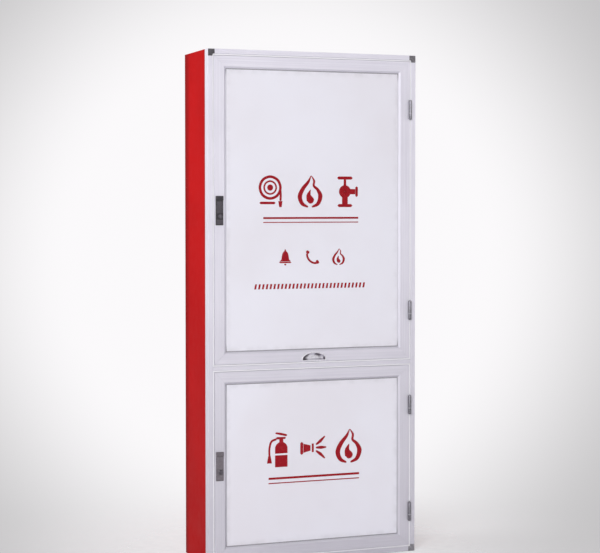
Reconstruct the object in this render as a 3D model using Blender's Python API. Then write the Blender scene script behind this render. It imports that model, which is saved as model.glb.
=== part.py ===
"""Fire hydrant cabinet: a folded steel box with a mitred aluminium frame and two framed doors.

Metres. +X is to the right as you face the doors, +Y goes into the cabinet, +Z is up. The cabinet stands
on Z = 0 with the origin under the middle of its bounding box. Depths are counted from the front face of
the frame, so a depth d lies at Y = FRONT_Y + d.
"""

import math

import bmesh
import bpy
from mathutils import Matrix

# Whole cabinet
WIDTH = 0.700
HEIGHT = 1.600
DEPTH = 0.240
LOWER_DOOR_HEIGHT = 0.5840

# Clearances
FIT = 0.0003  # between pieces that sit on each other
DOOR_GAP = 0.0055  # all round a door
PLUG_PLAY = 0.0005  # a corner plug in its tube
TURN_PLAY = 0.0006  # a shaft, pin or knob in its bore

# Outer frame extrusion
FRAME_FACE = 0.015
FRAME_DEPTH = 0.030
FRAME_WALL = 0.0014
FRAME_EDGE = 0.0010
FACE_GROOVE_AT = 0.0050
FACE_GROOVE_WIDTH = 0.0016
FACE_GROOVE_DEPTH = 0.0006
STOP_REACH = 0.012
STOP_WALL = 0.0014
MULLION_FACE = 0.012

# Foam seals on the stop
SEAL_WIDTH = 0.009
SEAL_THICKNESS = 0.0020
SEAL_INSET = 0.0010

# Corner connectors
CORNER_LEG = 0.022
CORNER_MARGIN = 0.0010
CORNER_PROUD = 0.0006
CORNER_SEAT = 0.0025
CORNER_FILLET = 0.0040
CORNER_ROUND = 0.0010
PLUG_LEG = 0.045
PLUG_DEPTH = 0.014

# Door extrusion and panel
STILE_FACE = 0.032
DOOR_DEPTH = 0.020
DOOR_WALL = 0.0014
DOOR_EDGE = 0.0008
BEAD_WIDTH = 0.006
BEAD_DEPTH = 0.006
BEAD_TIP = 0.0018
FIN_REACH = 0.005
PANEL_SHEET = 0.0012
GASKET_WIDTH = 0.0025
GASKET_THICKNESS = 0.0010

# Folded steel box
SHEET = 0.0012
BEND = 0.0008
FLANGE = 0.015
FIXING_HOLE_RADIUS = 0.006
FIXING_HOLE_INSET_X = 0.100
FIXING_HOLE_INSET_Z = 0.150
KNOCKOUT_RADIUS = 0.045
KNOCKOUT_SLOT = 0.0015
KNOCKOUT_TABS = 3
KNOCKOUT_TAB_ANGLE = math.radians(16)
KNOCKOUT_INSET_X = 0.170
KNOCKOUT_ABOVE_SHELF = 0.170
KNOCKOUT_FROM_BACK = 0.090

# Lift-off hinges
HINGE_RADIUS = 0.00525
HINGE_LENGTH = 0.060
HINGE_FRAME_KNUCKLE = 0.019
HINGE_WASHER = 0.0010
HINGE_WASHER_RADIUS = 0.0044
HINGE_PIN_RADIUS = 0.0025
HINGE_PIN_LENGTH = 0.032
HINGE_LEAF = 0.0012
HINGE_LEAF_DEPTH = 0.018
HINGE_STANDOFF = 0.0005
HINGE_OVERHANG = 0.0005
HINGE_CHAMFER = 0.0009
UPPER_HINGES_FROM_ENDS = (0.154, 0.154)  # above the door's bottom, below its top
LOWER_HINGES_FROM_ENDS = (0.110, 0.128)

# Flush lock with a turning knob and cam
LOCK_WIDTH = 0.0245
LOCK_HEIGHT = 0.0905
LOCK_CORNER = 0.0015
LOCK_BEZEL = 0.0020
LOCK_CAP_HEIGHT = 0.014
LOCK_CAP_PROUD = 0.0045
LOCK_PAD_WIDTH = 0.0200
LOCK_PAD_PROUD = 0.0034
LOCK_PAD_GAP = 0.0020
LOCK_GROOVE_COUNT = 4
LOCK_RIB_GROOVE = 0.0014
LOCK_RIB_DEPTH = 0.0009
LOCK_BODY_WIDTH = 0.019
LOCK_BODY_HEIGHT = 0.070
LOCK_BODY_DEPTH = 0.014
KNOB_RADIUS = 0.0065
KNOB_RIGHT = 0.0030
KNOB_BELOW = 0.0180
KNOB_PROUD = 0.0036
KNOB_SEAT = 0.0030
KNOB_CHAMFER = 0.0009
KNOB_GRIP_WIDTH = 0.0030
KNOB_GRIP_LENGTH = 0.0096
KNOB_GRIP_PROUD = 0.0014
SHAFT_RADIUS = 0.0030
SHAFT_HOLE_RADIUS = 0.0045
CAM_LENGTH = 0.0195
CAM_WIDTH = 0.0120
CAM_THICKNESS = 0.0020
CAM_BEHIND_STOP = 0.0015
CAM_NUT_RADIUS = 0.0048
CAM_NUT_THICKNESS = 0.0026

# Half-moon pull let into the upper door's bottom rail
PULL_WIDTH = 0.084
PULL_HEIGHT = 0.030
PULL_SHOULDER = 0.007
PULL_PROUD = 0.0012
PULL_RIM = 0.0030
PULL_WALL = 0.0012
PULL_DEPTH = 0.0130
PULL_DRAFT = 0.0040
PULL_CORNER = 0.0030
PULL_LEAST_CORNER = 0.0008

# Round pieces
ARC_STEPS = 4
ROUND_STEPS = 24
WIDE_ROUND_STEPS = 48

# Worked out from the values above
HINGE_PROUD = 2 * HINGE_RADIUS + HINGE_STANDOFF
FRONT_Y = -(DEPTH - HINGE_PROUD) / 2
STOP_FRONT = DOOR_DEPTH + FIT + SEAL_THICKNESS + FIT
STOP_BACK = STOP_FRONT + STOP_WALL
DOOR_INSET = FRAME_FACE + DOOR_GAP
LOWER_DOOR_TOP = DOOR_INSET + LOWER_DOOR_HEIGHT
MULLION_Z = LOWER_DOOR_TOP + DOOR_GAP + MULLION_FACE / 2
UPPER_DOOR_BOTTOM = MULLION_Z + MULLION_FACE / 2 + DOOR_GAP
HINGE_X = WIDTH / 2 - DOOR_INSET - HINGE_OVERHANG
HINGE_Y = FRONT_Y - HINGE_STANDOFF - HINGE_RADIUS
BOX_FRONT = FRAME_DEPTH + FIT
BOX_BACK = DEPTH - SHEET - FIT
CUT_PAST = 0.002  # how far a cutter runs past what it cuts

FACING_FRONT = Matrix.Rotation(math.radians(90), 4, "X")
TURN_TO_X = Matrix.Rotation(math.radians(90), 4, "Y")


def clear_scene():
    for item in list(bpy.data.objects):
        bpy.data.objects.remove(item)


def finish(name, colour, roughness, metallic=0.0):
    """A Principled BSDF material."""
    made = bpy.data.materials.new(name)
    made.use_nodes = True
    shader = made.node_tree.nodes["Principled BSDF"]
    shader.inputs["Base Color"].default_value = (*colour, 1.0)
    shader.inputs["Roughness"].default_value = roughness
    shader.inputs["Metallic"].default_value = metallic
    made.diffuse_color = (*colour, 1.0)
    return made


def make_finishes():
    return {
        "red_paint": finish("red_paint", (0.55, 0.010, 0.012), 0.40),
        "aluminium": finish("aluminium", (0.80, 0.79, 0.84), 0.35, 0.9),
        "white_paint": finish("white_paint", (0.86, 0.86, 0.90), 0.35),
        "dark_plastic": finish("dark_plastic", (0.030, 0.028, 0.032), 0.50),
        "dark_steel": finish("dark_steel", (0.11, 0.10, 0.12), 0.40, 0.8),
        "chrome": finish("chrome", (0.85, 0.85, 0.87), 0.12, 1.0),
        "foam": finish("foam", (0.04, 0.04, 0.04), 0.90),
        "rubber": finish("rubber", (0.06, 0.06, 0.065), 0.65),
        "zinc": finish("zinc", (0.55, 0.56, 0.58), 0.40, 0.9),
    }


def point_on_arc(centre, radius, angle):
    return (centre[0] + radius * math.cos(angle), centre[1] + radius * math.sin(angle))


def rounded(corners, steps=ARC_STEPS):
    """A closed outline through (x, y, radius) corners, with an arc at each corner that has a radius."""
    outline = []
    for before, corner, after in zip(corners[-1:] + corners[:-1], corners, corners[1:] + corners[:1]):
        x, y, radius = corner
        if radius <= 0:
            outline.append((x, y))
            continue
        arrive = math.atan2(before[1] - y, before[0] - x)
        leave = math.atan2(after[1] - y, after[0] - x)
        opening = (leave - arrive + math.pi) % (2 * math.pi) - math.pi
        reach = radius / math.sin(abs(opening) / 2)
        centre = point_on_arc((x, y), reach, arrive + opening / 2)
        sweep = math.copysign(math.pi - abs(opening), -opening)
        first = arrive + opening / 2 + math.pi - sweep / 2
        outline += [point_on_arc(centre, radius, first + sweep * i / steps) for i in range(steps + 1)]
    return outline


def rectangle(low, high, radius=0.0):
    (x0, y0), (x1, y1) = low, high
    return rounded([(x0, y0, radius), (x1, y0, radius), (x1, y1, radius), (x0, y1, radius)])


def drawn_in(low, high, inset):
    """A rectangle drawn in by `inset` on every side."""
    return rectangle((low[0] + inset, low[1] + inset), (high[0] - inset, high[1] - inset))


def centred(width, height, radius=0.0, at=(0.0, 0.0)):
    x, y = at
    return rectangle((x - width / 2, y - height / 2), (x + width / 2, y + height / 2), radius)


def circle(centre, radius, steps=ROUND_STEPS):
    return [point_on_arc(centre, radius, 2 * math.pi * i / steps) for i in range(steps)]


def solid(name, shape, material=None):
    """An object of a finished bmesh, shaded smooth with sharp edges kept."""
    bmesh.ops.recalc_face_normals(shape, faces=shape.faces[:])
    mesh = bpy.data.meshes.new(name)
    shape.to_mesh(mesh)
    shape.free()
    mesh.shade_smooth()
    mesh.set_sharp_from_angle(angle=math.radians(30))
    made = bpy.data.objects.new(name, mesh)
    if material:
        mesh.materials.append(material)
    bpy.context.scene.collection.objects.link(made)
    return made


def extrusion(name, loops, length, material=None, lean=(0.0, 0.0)):
    """Closed loops of (x, y) points carried along Z; a loop inside another is a hollow.

    lean is how far the first and the last end climb for each metre of X, which cuts a mitre.
    """
    shape = bmesh.new()
    edges = []
    for loop in loops:
        corners = [shape.verts.new((x, y, 0.0)) for x, y in loop]
        edges += [shape.edges.new(pair) for pair in zip(corners, corners[1:] + corners[:1])]
    bmesh.ops.triangle_fill(shape, use_beauty=True, use_dissolve=False, edges=edges)
    raised = bmesh.ops.extrude_face_region(shape, geom=shape.faces[:])["geom"]
    far_end = {item for item in raised if isinstance(item, bmesh.types.BMVert)}
    for vert in shape.verts:
        slope = lean[1] if vert in far_end else lean[0]
        vert.co.z = (length if vert in far_end else 0.0) + slope * vert.co.x
    return solid(name, shape, material)


def turned(name, profile, material=None, steps=ROUND_STEPS):
    """A solid of revolution about Z from (radius, height) points that start and end on the axis."""
    shape = bmesh.new()
    verts = [shape.verts.new((radius, 0.0, height)) for radius, height in profile]
    edges = [shape.edges.new(pair) for pair in zip(verts, verts[1:])]
    bmesh.ops.spin(
        shape, geom=verts + edges, axis=(0, 0, 1), cent=(0, 0, 0), steps=steps, angle=2 * math.pi
    )
    bmesh.ops.remove_doubles(shape, verts=shape.verts[:], dist=1e-6)
    return solid(name, shape, material)


def put(item, where, carrier=None):
    """Places an object by a world matrix, and hangs it on the empty that carries it."""
    item.matrix_world = where
    if carrier:
        item.parent = carrier
        item.matrix_parent_inverse = Matrix.Translation(carrier.location).inverted()
    return item


def plate(name, loops, front, back, where, carrier=None, material=None):
    """A plate whose loops lie in the XZ plane of `where`, from depth `front` to depth `back`."""
    made = extrusion(name, loops, back - front, material)
    return put(made, where @ Matrix.Translation((0, back, 0)) @ FACING_FRONT, carrier)


def axis_empty(name, at):
    made = bpy.data.objects.new(name, None)
    made.location = at
    bpy.context.scene.collection.objects.link(made)
    return made


def combine(target, helper, operation):
    """Adds a Boolean with a helper object that isn't a piece of the cabinet itself."""
    helper.hide_render = True
    helper.display_type = "WIRE"
    step = target.modifiers.new(helper.name, "BOOLEAN")
    step.operation = operation
    step.solver = "EXACT"
    step.object = helper


def at_front(x, z):
    """The world matrix of a point on the frame's front face."""
    return Matrix.Translation((x, FRONT_Y, z))


def corner_matrices(low, high):
    """One matrix for each corner of a rectangle, bottom left first, turned so that X and Z point inwards."""
    places = ((low[0], low[1]), (low[0], high[1]), (high[0], high[1]), (high[0], low[1]))
    return [
        at_front(x, z) @ Matrix.Rotation(math.radians(90 * turn), 4, "Y")
        for turn, (x, z) in enumerate(places)
    ]


def mitred_frame(prefix, low, high, loops, material, carrier):
    """Four bars with 45 degree mitres round a rectangle, whose section's X runs inwards from its edge."""
    width, height = high[0] - low[0], high[1] - low[1]
    sides = ("left_stile", "top_rail", "right_stile", "bottom_rail")
    slip = FIT / math.sqrt(2)
    bars = {}
    for side, corner, length in zip(sides, corner_matrices(low, high), (height, width) * 2):
        bar = extrusion(f"{prefix}_{side}", loops, length - 2 * slip, material, lean=(1.0, -1.0))
        bars[side] = put(bar, corner @ Matrix.Translation((0, 0, slip)), carrier)
    return bars


def frame_section():
    """The outer frame: a grooved tube with a stop for the door behind the gap."""
    groove = FACE_GROOVE_AT
    half = FACE_GROOVE_WIDTH / 2
    outside = rounded(
        [
            (0, 0, FRAME_EDGE),
            (groove - half, 0, 0),
            (groove - half / 2, FACE_GROOVE_DEPTH, 0),
            (groove + half / 2, FACE_GROOVE_DEPTH, 0),
            (groove + half, 0, 0),
            (FRAME_FACE, 0, FRAME_EDGE),
            (FRAME_FACE, STOP_FRONT, 0),
            (FRAME_FACE + STOP_REACH, STOP_FRONT, 0),
            (FRAME_FACE + STOP_REACH, STOP_BACK, 0),
            (FRAME_FACE, STOP_BACK, 0),
            (FRAME_FACE, FRAME_DEPTH, 0),
            (0, FRAME_DEPTH, 0),
        ]
    )
    hollow = rectangle((FRAME_WALL, FRAME_WALL), (FRAME_FACE - FRAME_WALL, FRAME_DEPTH - FRAME_WALL))
    return [outside, hollow]


def door_section():
    """The door extrusion: a tube with a bevelled bead in front of the panel and a fin behind it."""
    panel_front = BEAD_DEPTH + FIT
    panel_back = panel_front + PANEL_SHEET + FIT
    outside = rounded(
        [
            (0, 0, DOOR_EDGE),
            (STILE_FACE, 0, 0),
            (STILE_FACE + BEAD_WIDTH, BEAD_DEPTH, 0),
            (STILE_FACE + BEAD_WIDTH - BEAD_TIP, BEAD_DEPTH, 0),
            (STILE_FACE, BEAD_TIP, 0),
            (STILE_FACE, panel_back, 0),
            (STILE_FACE + FIN_REACH, panel_back, 0),
            (STILE_FACE + FIN_REACH, panel_back + DOOR_WALL, 0),
            (STILE_FACE, panel_back + DOOR_WALL, 0),
            (STILE_FACE, DOOR_DEPTH, DOOR_EDGE),
            (0, DOOR_DEPTH, DOOR_EDGE),
        ]
    )
    hollow = rectangle((DOOR_WALL, DOOR_WALL), (STILE_FACE - DOOR_WALL, DOOR_DEPTH - DOOR_WALL))
    return [outside, hollow]


def channel(depth_low, depth_high, flange):
    """A folded channel's section: its web lies along X = 0 and its two flanges point to +X."""
    outer, inner = BEND + SHEET, BEND
    return rounded(
        [
            (0, depth_low, outer),
            (flange, depth_low, 0),
            (flange, depth_low + SHEET, 0),
            (SHEET, depth_low + SHEET, inner),
            (SHEET, depth_high - SHEET, inner),
            (flange, depth_high - SHEET, 0),
            (flange, depth_high, 0),
            (0, depth_high, outer),
        ]
    )


def knockout_slots(centre):
    """The arc-shaped slots round a knock-out, with the tabs that hold it left between them."""
    share = 2 * math.pi / KNOCKOUT_TABS
    steps = WIDE_ROUND_STEPS // KNOCKOUT_TABS
    slots = []
    for index in range(KNOCKOUT_TABS):
        start = share * index + KNOCKOUT_TAB_ANGLE / 2
        sweep = share - KNOCKOUT_TAB_ANGLE
        angles = [start + sweep * i / steps for i in range(steps + 1)]
        outer = [point_on_arc(centre, KNOCKOUT_RADIUS + KNOCKOUT_SLOT / 2, a) for a in angles]
        inner = [point_on_arc(centre, KNOCKOUT_RADIUS - KNOCKOUT_SLOT / 2, a) for a in angles]
        slots.append(outer + inner[::-1])
    return slots


def build_box(paint):
    """The folded steel box behind the frame, with its shelf."""
    half = WIDTH / 2
    inner_x = half - SHEET - FIT
    lap_front, lap_back = BOX_FRONT + SHEET + FIT, BOX_BACK - SHEET - FIT

    side = channel(BOX_FRONT, BOX_BACK, FLANGE)
    put(extrusion("left_side_panel", [side], HEIGHT, paint), at_front(-half, 0))
    half_turn = Matrix.Rotation(math.radians(180), 4, "Y")
    put(extrusion("right_side_panel", [side], HEIGHT, paint), at_front(half, HEIGHT) @ half_turn)

    cross = channel(lap_front, lap_back, FLANGE)
    shelf = extrusion("middle_shelf", [cross], 2 * inner_x, paint)
    put(shelf, at_front(-inner_x, MULLION_Z) @ TURN_TO_X)
    top = extrusion("top_panel", [cross], 2 * inner_x, paint)
    put(top, at_front(-inner_x, HEIGHT) @ TURN_TO_X)
    bottom = extrusion("bottom_panel", [cross], 2 * inner_x, paint)
    put(bottom, at_front(inner_x, 0) @ TURN_TO_X.inverted())
    inlet = (half - KNOCKOUT_INSET_X, DEPTH - KNOCKOUT_FROM_BACK)
    cutter = extrusion("top_knockout_cutter", knockout_slots(inlet), SHEET + 2 * CUT_PAST)
    put(cutter, at_front(0, HEIGHT - SHEET - CUT_PAST))
    combine(top, cutter, "DIFFERENCE")

    fixings = [
        circle((x, z), FIXING_HOLE_RADIUS)
        for x in (-half + FIXING_HOLE_INSET_X, half - FIXING_HOLE_INSET_X)
        for z in (FIXING_HOLE_INSET_Z, HEIGHT - FIXING_HOLE_INSET_Z)
    ]
    supply = knockout_slots((half - KNOCKOUT_INSET_X, MULLION_Z + KNOCKOUT_ABOVE_SHELF))
    sheet = [rectangle((-half, 0), (half, HEIGHT)), *fixings, *supply]
    plate("back_panel", sheet, DEPTH - SHEET, DEPTH, at_front(0, 0), material=paint)


def corner_leg_outline(leg, margin, band, fillet, corner=0.0):
    """An L along two meeting frame bars, from `margin` to `band` across and `leg` long."""
    return rounded(
        [
            (margin, margin, 0),
            (leg, margin, corner),
            (leg, band, corner),
            (band, band, fillet),
            (band, leg, corner),
            (margin, leg, corner),
        ]
    )


def build_frame(finishes):
    """The outer frame, its plastic corner connectors, the coped mullion and the seals."""
    metal = finishes["aluminium"]
    low, high = (-WIDTH / 2, 0.0), (WIDTH / 2, HEIGHT)
    bars = mitred_frame("frame", low, high, frame_section(), metal, None)

    plug_low = FRAME_WALL + PLUG_PLAY
    plug_high = FRAME_FACE - FRAME_WALL - PLUG_PLAY
    corners = ("bottom_left", "top_left", "top_right", "bottom_right")
    meeting = (
        ("left_stile", "bottom_rail"),
        ("left_stile", "top_rail"),
        ("right_stile", "top_rail"),
        ("right_stile", "bottom_rail"),
    )
    for name, sides, where in zip(corners, meeting, corner_matrices(low, high)):
        face = corner_leg_outline(CORNER_LEG, CORNER_MARGIN, FRAME_FACE, CORNER_FILLET, CORNER_ROUND)
        connector = plate(
            f"corner_{name}", [face], -CORNER_PROUD, CORNER_SEAT, where, material=finishes["dark_plastic"]
        )
        legs = corner_leg_outline(PLUG_LEG, plug_low, plug_high, 0.0)
        plug = plate(f"corner_{name}_plug", [legs], FRAME_WALL + FIT, PLUG_DEPTH, where)
        combine(connector, plug, "UNION")
        pocket = corner_leg_outline(
            CORNER_LEG + FIT, CORNER_MARGIN - FIT, FRAME_FACE + CUT_PAST, CORNER_FILLET
        )
        cutter = plate(f"corner_{name}_cutter", [pocket], -CUT_PAST, CORNER_SEAT + FIT, where)
        for side in sides:
            combine(bars[side], cutter, "DIFFERENCE")

    build_mullion(metal)
    build_seal("lower_seal", 0.0, MULLION_Z, FRAME_FACE, MULLION_FACE / 2, finishes["foam"])
    build_seal("upper_seal", MULLION_Z, HEIGHT, MULLION_FACE / 2, FRAME_FACE, finishes["foam"])


def build_mullion(metal):
    """The bar between the doors, its stop lips cut back where they meet the stops of the stiles."""
    face, lip = MULLION_FACE / 2, MULLION_FACE / 2 + STOP_REACH
    outside = rounded(
        [
            (-face, 0, FRAME_EDGE),
            (face, 0, FRAME_EDGE),
            (face, STOP_FRONT, 0),
            (lip, STOP_FRONT, 0),
            (lip, STOP_BACK, 0),
            (-lip, STOP_BACK, 0),
            (-lip, STOP_FRONT, 0),
            (-face, STOP_FRONT, 0),
        ]
    )
    hollow = rectangle((-face + FRAME_WALL, FRAME_WALL), (face - FRAME_WALL, STOP_FRONT))
    span = WIDTH - 2 * (FRAME_FACE + FIT)
    bar = extrusion("mullion", [outside, hollow], span, metal)
    put(bar, at_front(-span / 2, MULLION_Z) @ TURN_TO_X)
    clear_x = WIDTH / 2 - FRAME_FACE - STOP_REACH - FIT
    reach = WIDTH / 2 - clear_x
    height = 2 * (lip + CUT_PAST)
    ends = [centred(reach, height, at=(side * (clear_x + reach / 2), 0)) for side in (-1, 1)]
    where = at_front(0, MULLION_Z)
    cutter = plate("mullion_cope_cutter", ends, STOP_FRONT - FIT, STOP_BACK + CUT_PAST, where)
    combine(bar, cutter, "DIFFERENCE")


def build_seal(name, z_low, z_high, face_low, face_high, foam):
    """A foam ring on the stop round one doorway, whose bars have their faces' widths given."""
    x = WIDTH / 2 - FRAME_FACE
    low, high = (-x, z_low + face_low), (x, z_high - face_high)
    ring = [drawn_in(low, high, SEAL_INSET), drawn_in(low, high, SEAL_INSET + SEAL_WIDTH)]
    front = DOOR_DEPTH + FIT
    plate(name, ring, front, front + SEAL_THICKNESS, at_front(0, 0), material=foam)


def build_hinge(prefix, middle_z, carrier, metal):
    """A lift-off hinge: the frame half carries the pin, and the door half's knuckle drops over it."""
    bottom = middle_z - HINGE_LENGTH / 2
    knuckle_top = bottom + HINGE_FRAME_KNUCKLE
    door_bottom = knuckle_top + HINGE_WASHER + FIT
    door_top = bottom + HINGE_LENGTH
    axis = Matrix.Translation((HINGE_X, HINGE_Y, 0))
    full, shy = HINGE_RADIUS, HINGE_RADIUS - HINGE_CHAMFER

    pin_top = knuckle_top + HINGE_PIN_LENGTH
    frame_profile = [
        (0, bottom),
        (shy, bottom),
        (full, bottom + HINGE_CHAMFER),
        (full, knuckle_top),
        (HINGE_WASHER_RADIUS, knuckle_top),
        (HINGE_WASHER_RADIUS, knuckle_top + HINGE_WASHER),
        (HINGE_PIN_RADIUS, knuckle_top + HINGE_WASHER),
        (HINGE_PIN_RADIUS, pin_top - HINGE_CHAMFER),
        (HINGE_PIN_RADIUS - HINGE_CHAMFER, pin_top),
        (0, pin_top),
    ]
    frame_half = put(turned(f"{prefix}_hinge_frame_half", frame_profile, metal), axis)
    leaf_out = WIDTH / 2 - FRAME_FACE - FIT
    leaf = rectangle((leaf_out - HINGE_LEAF, bottom + HINGE_CHAMFER), (leaf_out, knuckle_top))
    leaf_front = -HINGE_STANDOFF - HINGE_RADIUS
    combine(
        frame_half,
        plate(f"{prefix}_frame_leaf", [leaf], leaf_front, HINGE_LEAF_DEPTH, at_front(0, 0)),
        "UNION",
    )

    bore = HINGE_PIN_RADIUS + TURN_PLAY
    bore_top = pin_top + TURN_PLAY
    door_profile = [
        (0, bore_top),
        (bore, bore_top),
        (bore, door_bottom),
        (full, door_bottom),
        (full, door_top - HINGE_CHAMFER),
        (shy, door_top),
        (0, door_top),
    ]
    door_half = put(turned(f"{prefix}_hinge_door_half", door_profile, metal), axis, carrier)
    edge = WIDTH / 2 - DOOR_INSET + FIT
    leaf = rectangle((edge, door_bottom), (edge + HINGE_LEAF, door_top - HINGE_CHAMFER))
    leaf_front = -HINGE_STANDOFF - HINGE_LEAF
    door_leaf = plate(f"{prefix}_door_leaf", [leaf], leaf_front, HINGE_LEAF_DEPTH, at_front(0, 0), carrier)
    combine(door_half, door_leaf, "UNION")


def build_lock(prefix, door, x, z, stile, finishes):
    """The lock on a door's left stile: a fixed housing, and a knob whose shaft carries the cam."""
    where = at_front(x, z)
    knob_x, knob_z = KNOB_RIGHT, -KNOB_BELOW
    build_lock_housing(prefix, where, (knob_x, knob_z), door, finishes["dark_plastic"])
    opening = centred(LOCK_BODY_WIDTH + 2 * FIT, LOCK_BODY_HEIGHT + 2 * FIT)
    slot = plate(f"{prefix}_slot_cutter", [opening], -CUT_PAST, DOOR_WALL + CUT_PAST, where, door)
    combine(stile, slot, "DIFFERENCE")
    hole = circle((knob_x, knob_z), SHAFT_HOLE_RADIUS)
    hole_front = DOOR_DEPTH - DOOR_WALL - CUT_PAST
    drill = plate(f"{prefix}_shaft_cutter", [hole], hole_front, DOOR_DEPTH + CUT_PAST, where, door)
    combine(stile, drill, "DIFFERENCE")

    turn = axis_empty(f"{prefix}_axis", (x + knob_x, FRONT_Y, z + knob_z))
    turn.parent = door
    turn.matrix_parent_inverse = Matrix.Translation(door.location).inverted()
    build_knob_and_cam(prefix, at_front(x + knob_x, z + knob_z), turn, finishes)


def build_lock_housing(prefix, where, knob_at, door, plastic):
    """A bezel with a cap and two ribbed pads on it, and a body through the stile that seats the knob."""
    root = -LOCK_BEZEL / 2  # inside the bezel, where the shapes that stand on it start
    bezel = centred(LOCK_WIDTH, LOCK_HEIGHT, LOCK_CORNER)
    housing = plate(f"{prefix}_housing", [bezel], -LOCK_BEZEL, -FIT, where, door, plastic)
    body = centred(LOCK_BODY_WIDTH, LOCK_BODY_HEIGHT)
    combine(housing, plate(f"{prefix}_body", [body], root, LOCK_BODY_DEPTH, where, door), "UNION")

    cap_middle = LOCK_HEIGHT / 2 - LOCK_CAP_HEIGHT / 2
    cap = centred(LOCK_WIDTH, LOCK_CAP_HEIGHT, LOCK_CORNER, at=(0, cap_middle))
    combine(housing, plate(f"{prefix}_cap", [cap], -LOCK_CAP_PROUD, root, where, door), "UNION")

    seat = KNOB_RADIUS + TURN_PLAY
    pad_low = knob_at[1] + seat + LOCK_PAD_GAP
    pad_high = LOCK_HEIGHT / 2 - LOCK_CAP_HEIGHT - LOCK_PAD_GAP
    foot_low = -LOCK_HEIGHT / 2 + LOCK_PAD_GAP
    foot_high = knob_at[1] - seat - LOCK_PAD_GAP
    half_pad = LOCK_PAD_WIDTH / 2
    pads = [
        rectangle((-half_pad, low), (half_pad, high), LOCK_CORNER)
        for low, high in ((pad_low, pad_high), (foot_low, foot_high))
    ]
    combine(housing, plate(f"{prefix}_pads", pads, -LOCK_PAD_PROUD, root, where, door), "UNION")

    pitch = LOCK_PAD_WIDTH / (LOCK_GROOVE_COUNT + 1)
    groove_middle = (foot_low + pad_high) / 2
    groove_length = pad_high - foot_low + LOCK_PAD_GAP
    grooves = [
        centred(LOCK_RIB_GROOVE, groove_length, at=((i + 1) * pitch - half_pad, groove_middle))
        for i in range(LOCK_GROOVE_COUNT)
    ]
    groove_back = -LOCK_PAD_PROUD + LOCK_RIB_DEPTH
    cutter = plate(f"{prefix}_rib_cutter", grooves, -LOCK_PAD_PROUD - CUT_PAST, groove_back, where, door)
    combine(housing, cutter, "DIFFERENCE")

    pocket = circle(knob_at, seat)
    cutter = plate(f"{prefix}_knob_cutter", [pocket], -LOCK_PAD_PROUD - CUT_PAST, KNOB_SEAT, where, door)
    combine(housing, cutter, "DIFFERENCE")
    bore = circle(knob_at, SHAFT_RADIUS + TURN_PLAY)
    cutter = plate(f"{prefix}_bore_cutter", [bore], 0, LOCK_BODY_DEPTH + CUT_PAST, where, door)
    combine(housing, cutter, "DIFFERENCE")


def build_knob_and_cam(prefix, where, turn, finishes):
    """The knob, its shaft through the stile, and the cam that turns behind the frame's stop."""
    cam_front = STOP_BACK + CAM_BEHIND_STOP
    cam_back = cam_front + CAM_THICKNESS
    nut_back = cam_back + FIT + CAM_NUT_THICKNESS
    seat = KNOB_SEAT - FIT
    # Heights of the turned profile are depths, because the knob is turned to face the front.
    profile = [
        (0, -KNOB_PROUD),
        (KNOB_RADIUS - KNOB_CHAMFER, -KNOB_PROUD),
        (KNOB_RADIUS, -KNOB_PROUD + KNOB_CHAMFER),
        (KNOB_RADIUS, seat),
        (SHAFT_RADIUS, seat),
        (SHAFT_RADIUS, cam_back + FIT),
        (CAM_NUT_RADIUS, cam_back + FIT),
        (CAM_NUT_RADIUS, nut_back),
        (0, nut_back),
    ]
    knob = turned(f"{prefix}_knob", profile, finishes["zinc"])
    put(knob, where @ Matrix.Rotation(math.radians(-90), 4, "X"), turn)
    grip = centred(KNOB_GRIP_WIDTH, KNOB_GRIP_LENGTH)
    bar = plate(f"{prefix}_grip", [grip], -KNOB_PROUD - KNOB_GRIP_PROUD, -KNOB_PROUD / 2, where, turn)
    combine(knob, bar, "UNION")

    half = CAM_WIDTH / 2
    sweep = [math.pi * i / (2 * ARC_STEPS) for i in range(2 * ARC_STEPS + 1)]
    boss = [point_on_arc((0, 0), half, angle) for angle in sweep]
    nose = [point_on_arc((0, half - CAM_LENGTH), half, math.pi + angle) for angle in sweep]
    hole = circle((0, 0), SHAFT_RADIUS + FIT)
    plate(f"{prefix}_cam", [boss + nose, hole], cam_front, cam_back, where, turn, finishes["zinc"])


def half_moon(width, height, inset=0.0):
    """A flat-bottomed outline with a half-ellipse on top, drawn in by `inset` on every side."""
    half, bottom = width / 2 - inset, inset
    corner = max(PULL_CORNER - inset, PULL_LEAST_CORNER)
    shoulder = max(PULL_SHOULDER, bottom + corner + PULL_LEAST_CORNER)
    rise = height - inset - shoulder
    base = [
        point_on_arc((-half + corner, bottom + corner), corner, math.radians(180 + 90 * i / ARC_STEPS))
        for i in range(ARC_STEPS + 1)
    ] + [
        point_on_arc((half - corner, bottom + corner), corner, math.radians(270 + 90 * i / ARC_STEPS))
        for i in range(ARC_STEPS + 1)
    ]
    angles = [math.pi * i / ROUND_STEPS for i in range(ROUND_STEPS + 1)]
    return base + [(half * math.cos(a), shoulder + rise * math.sin(a)) for a in angles]


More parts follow.
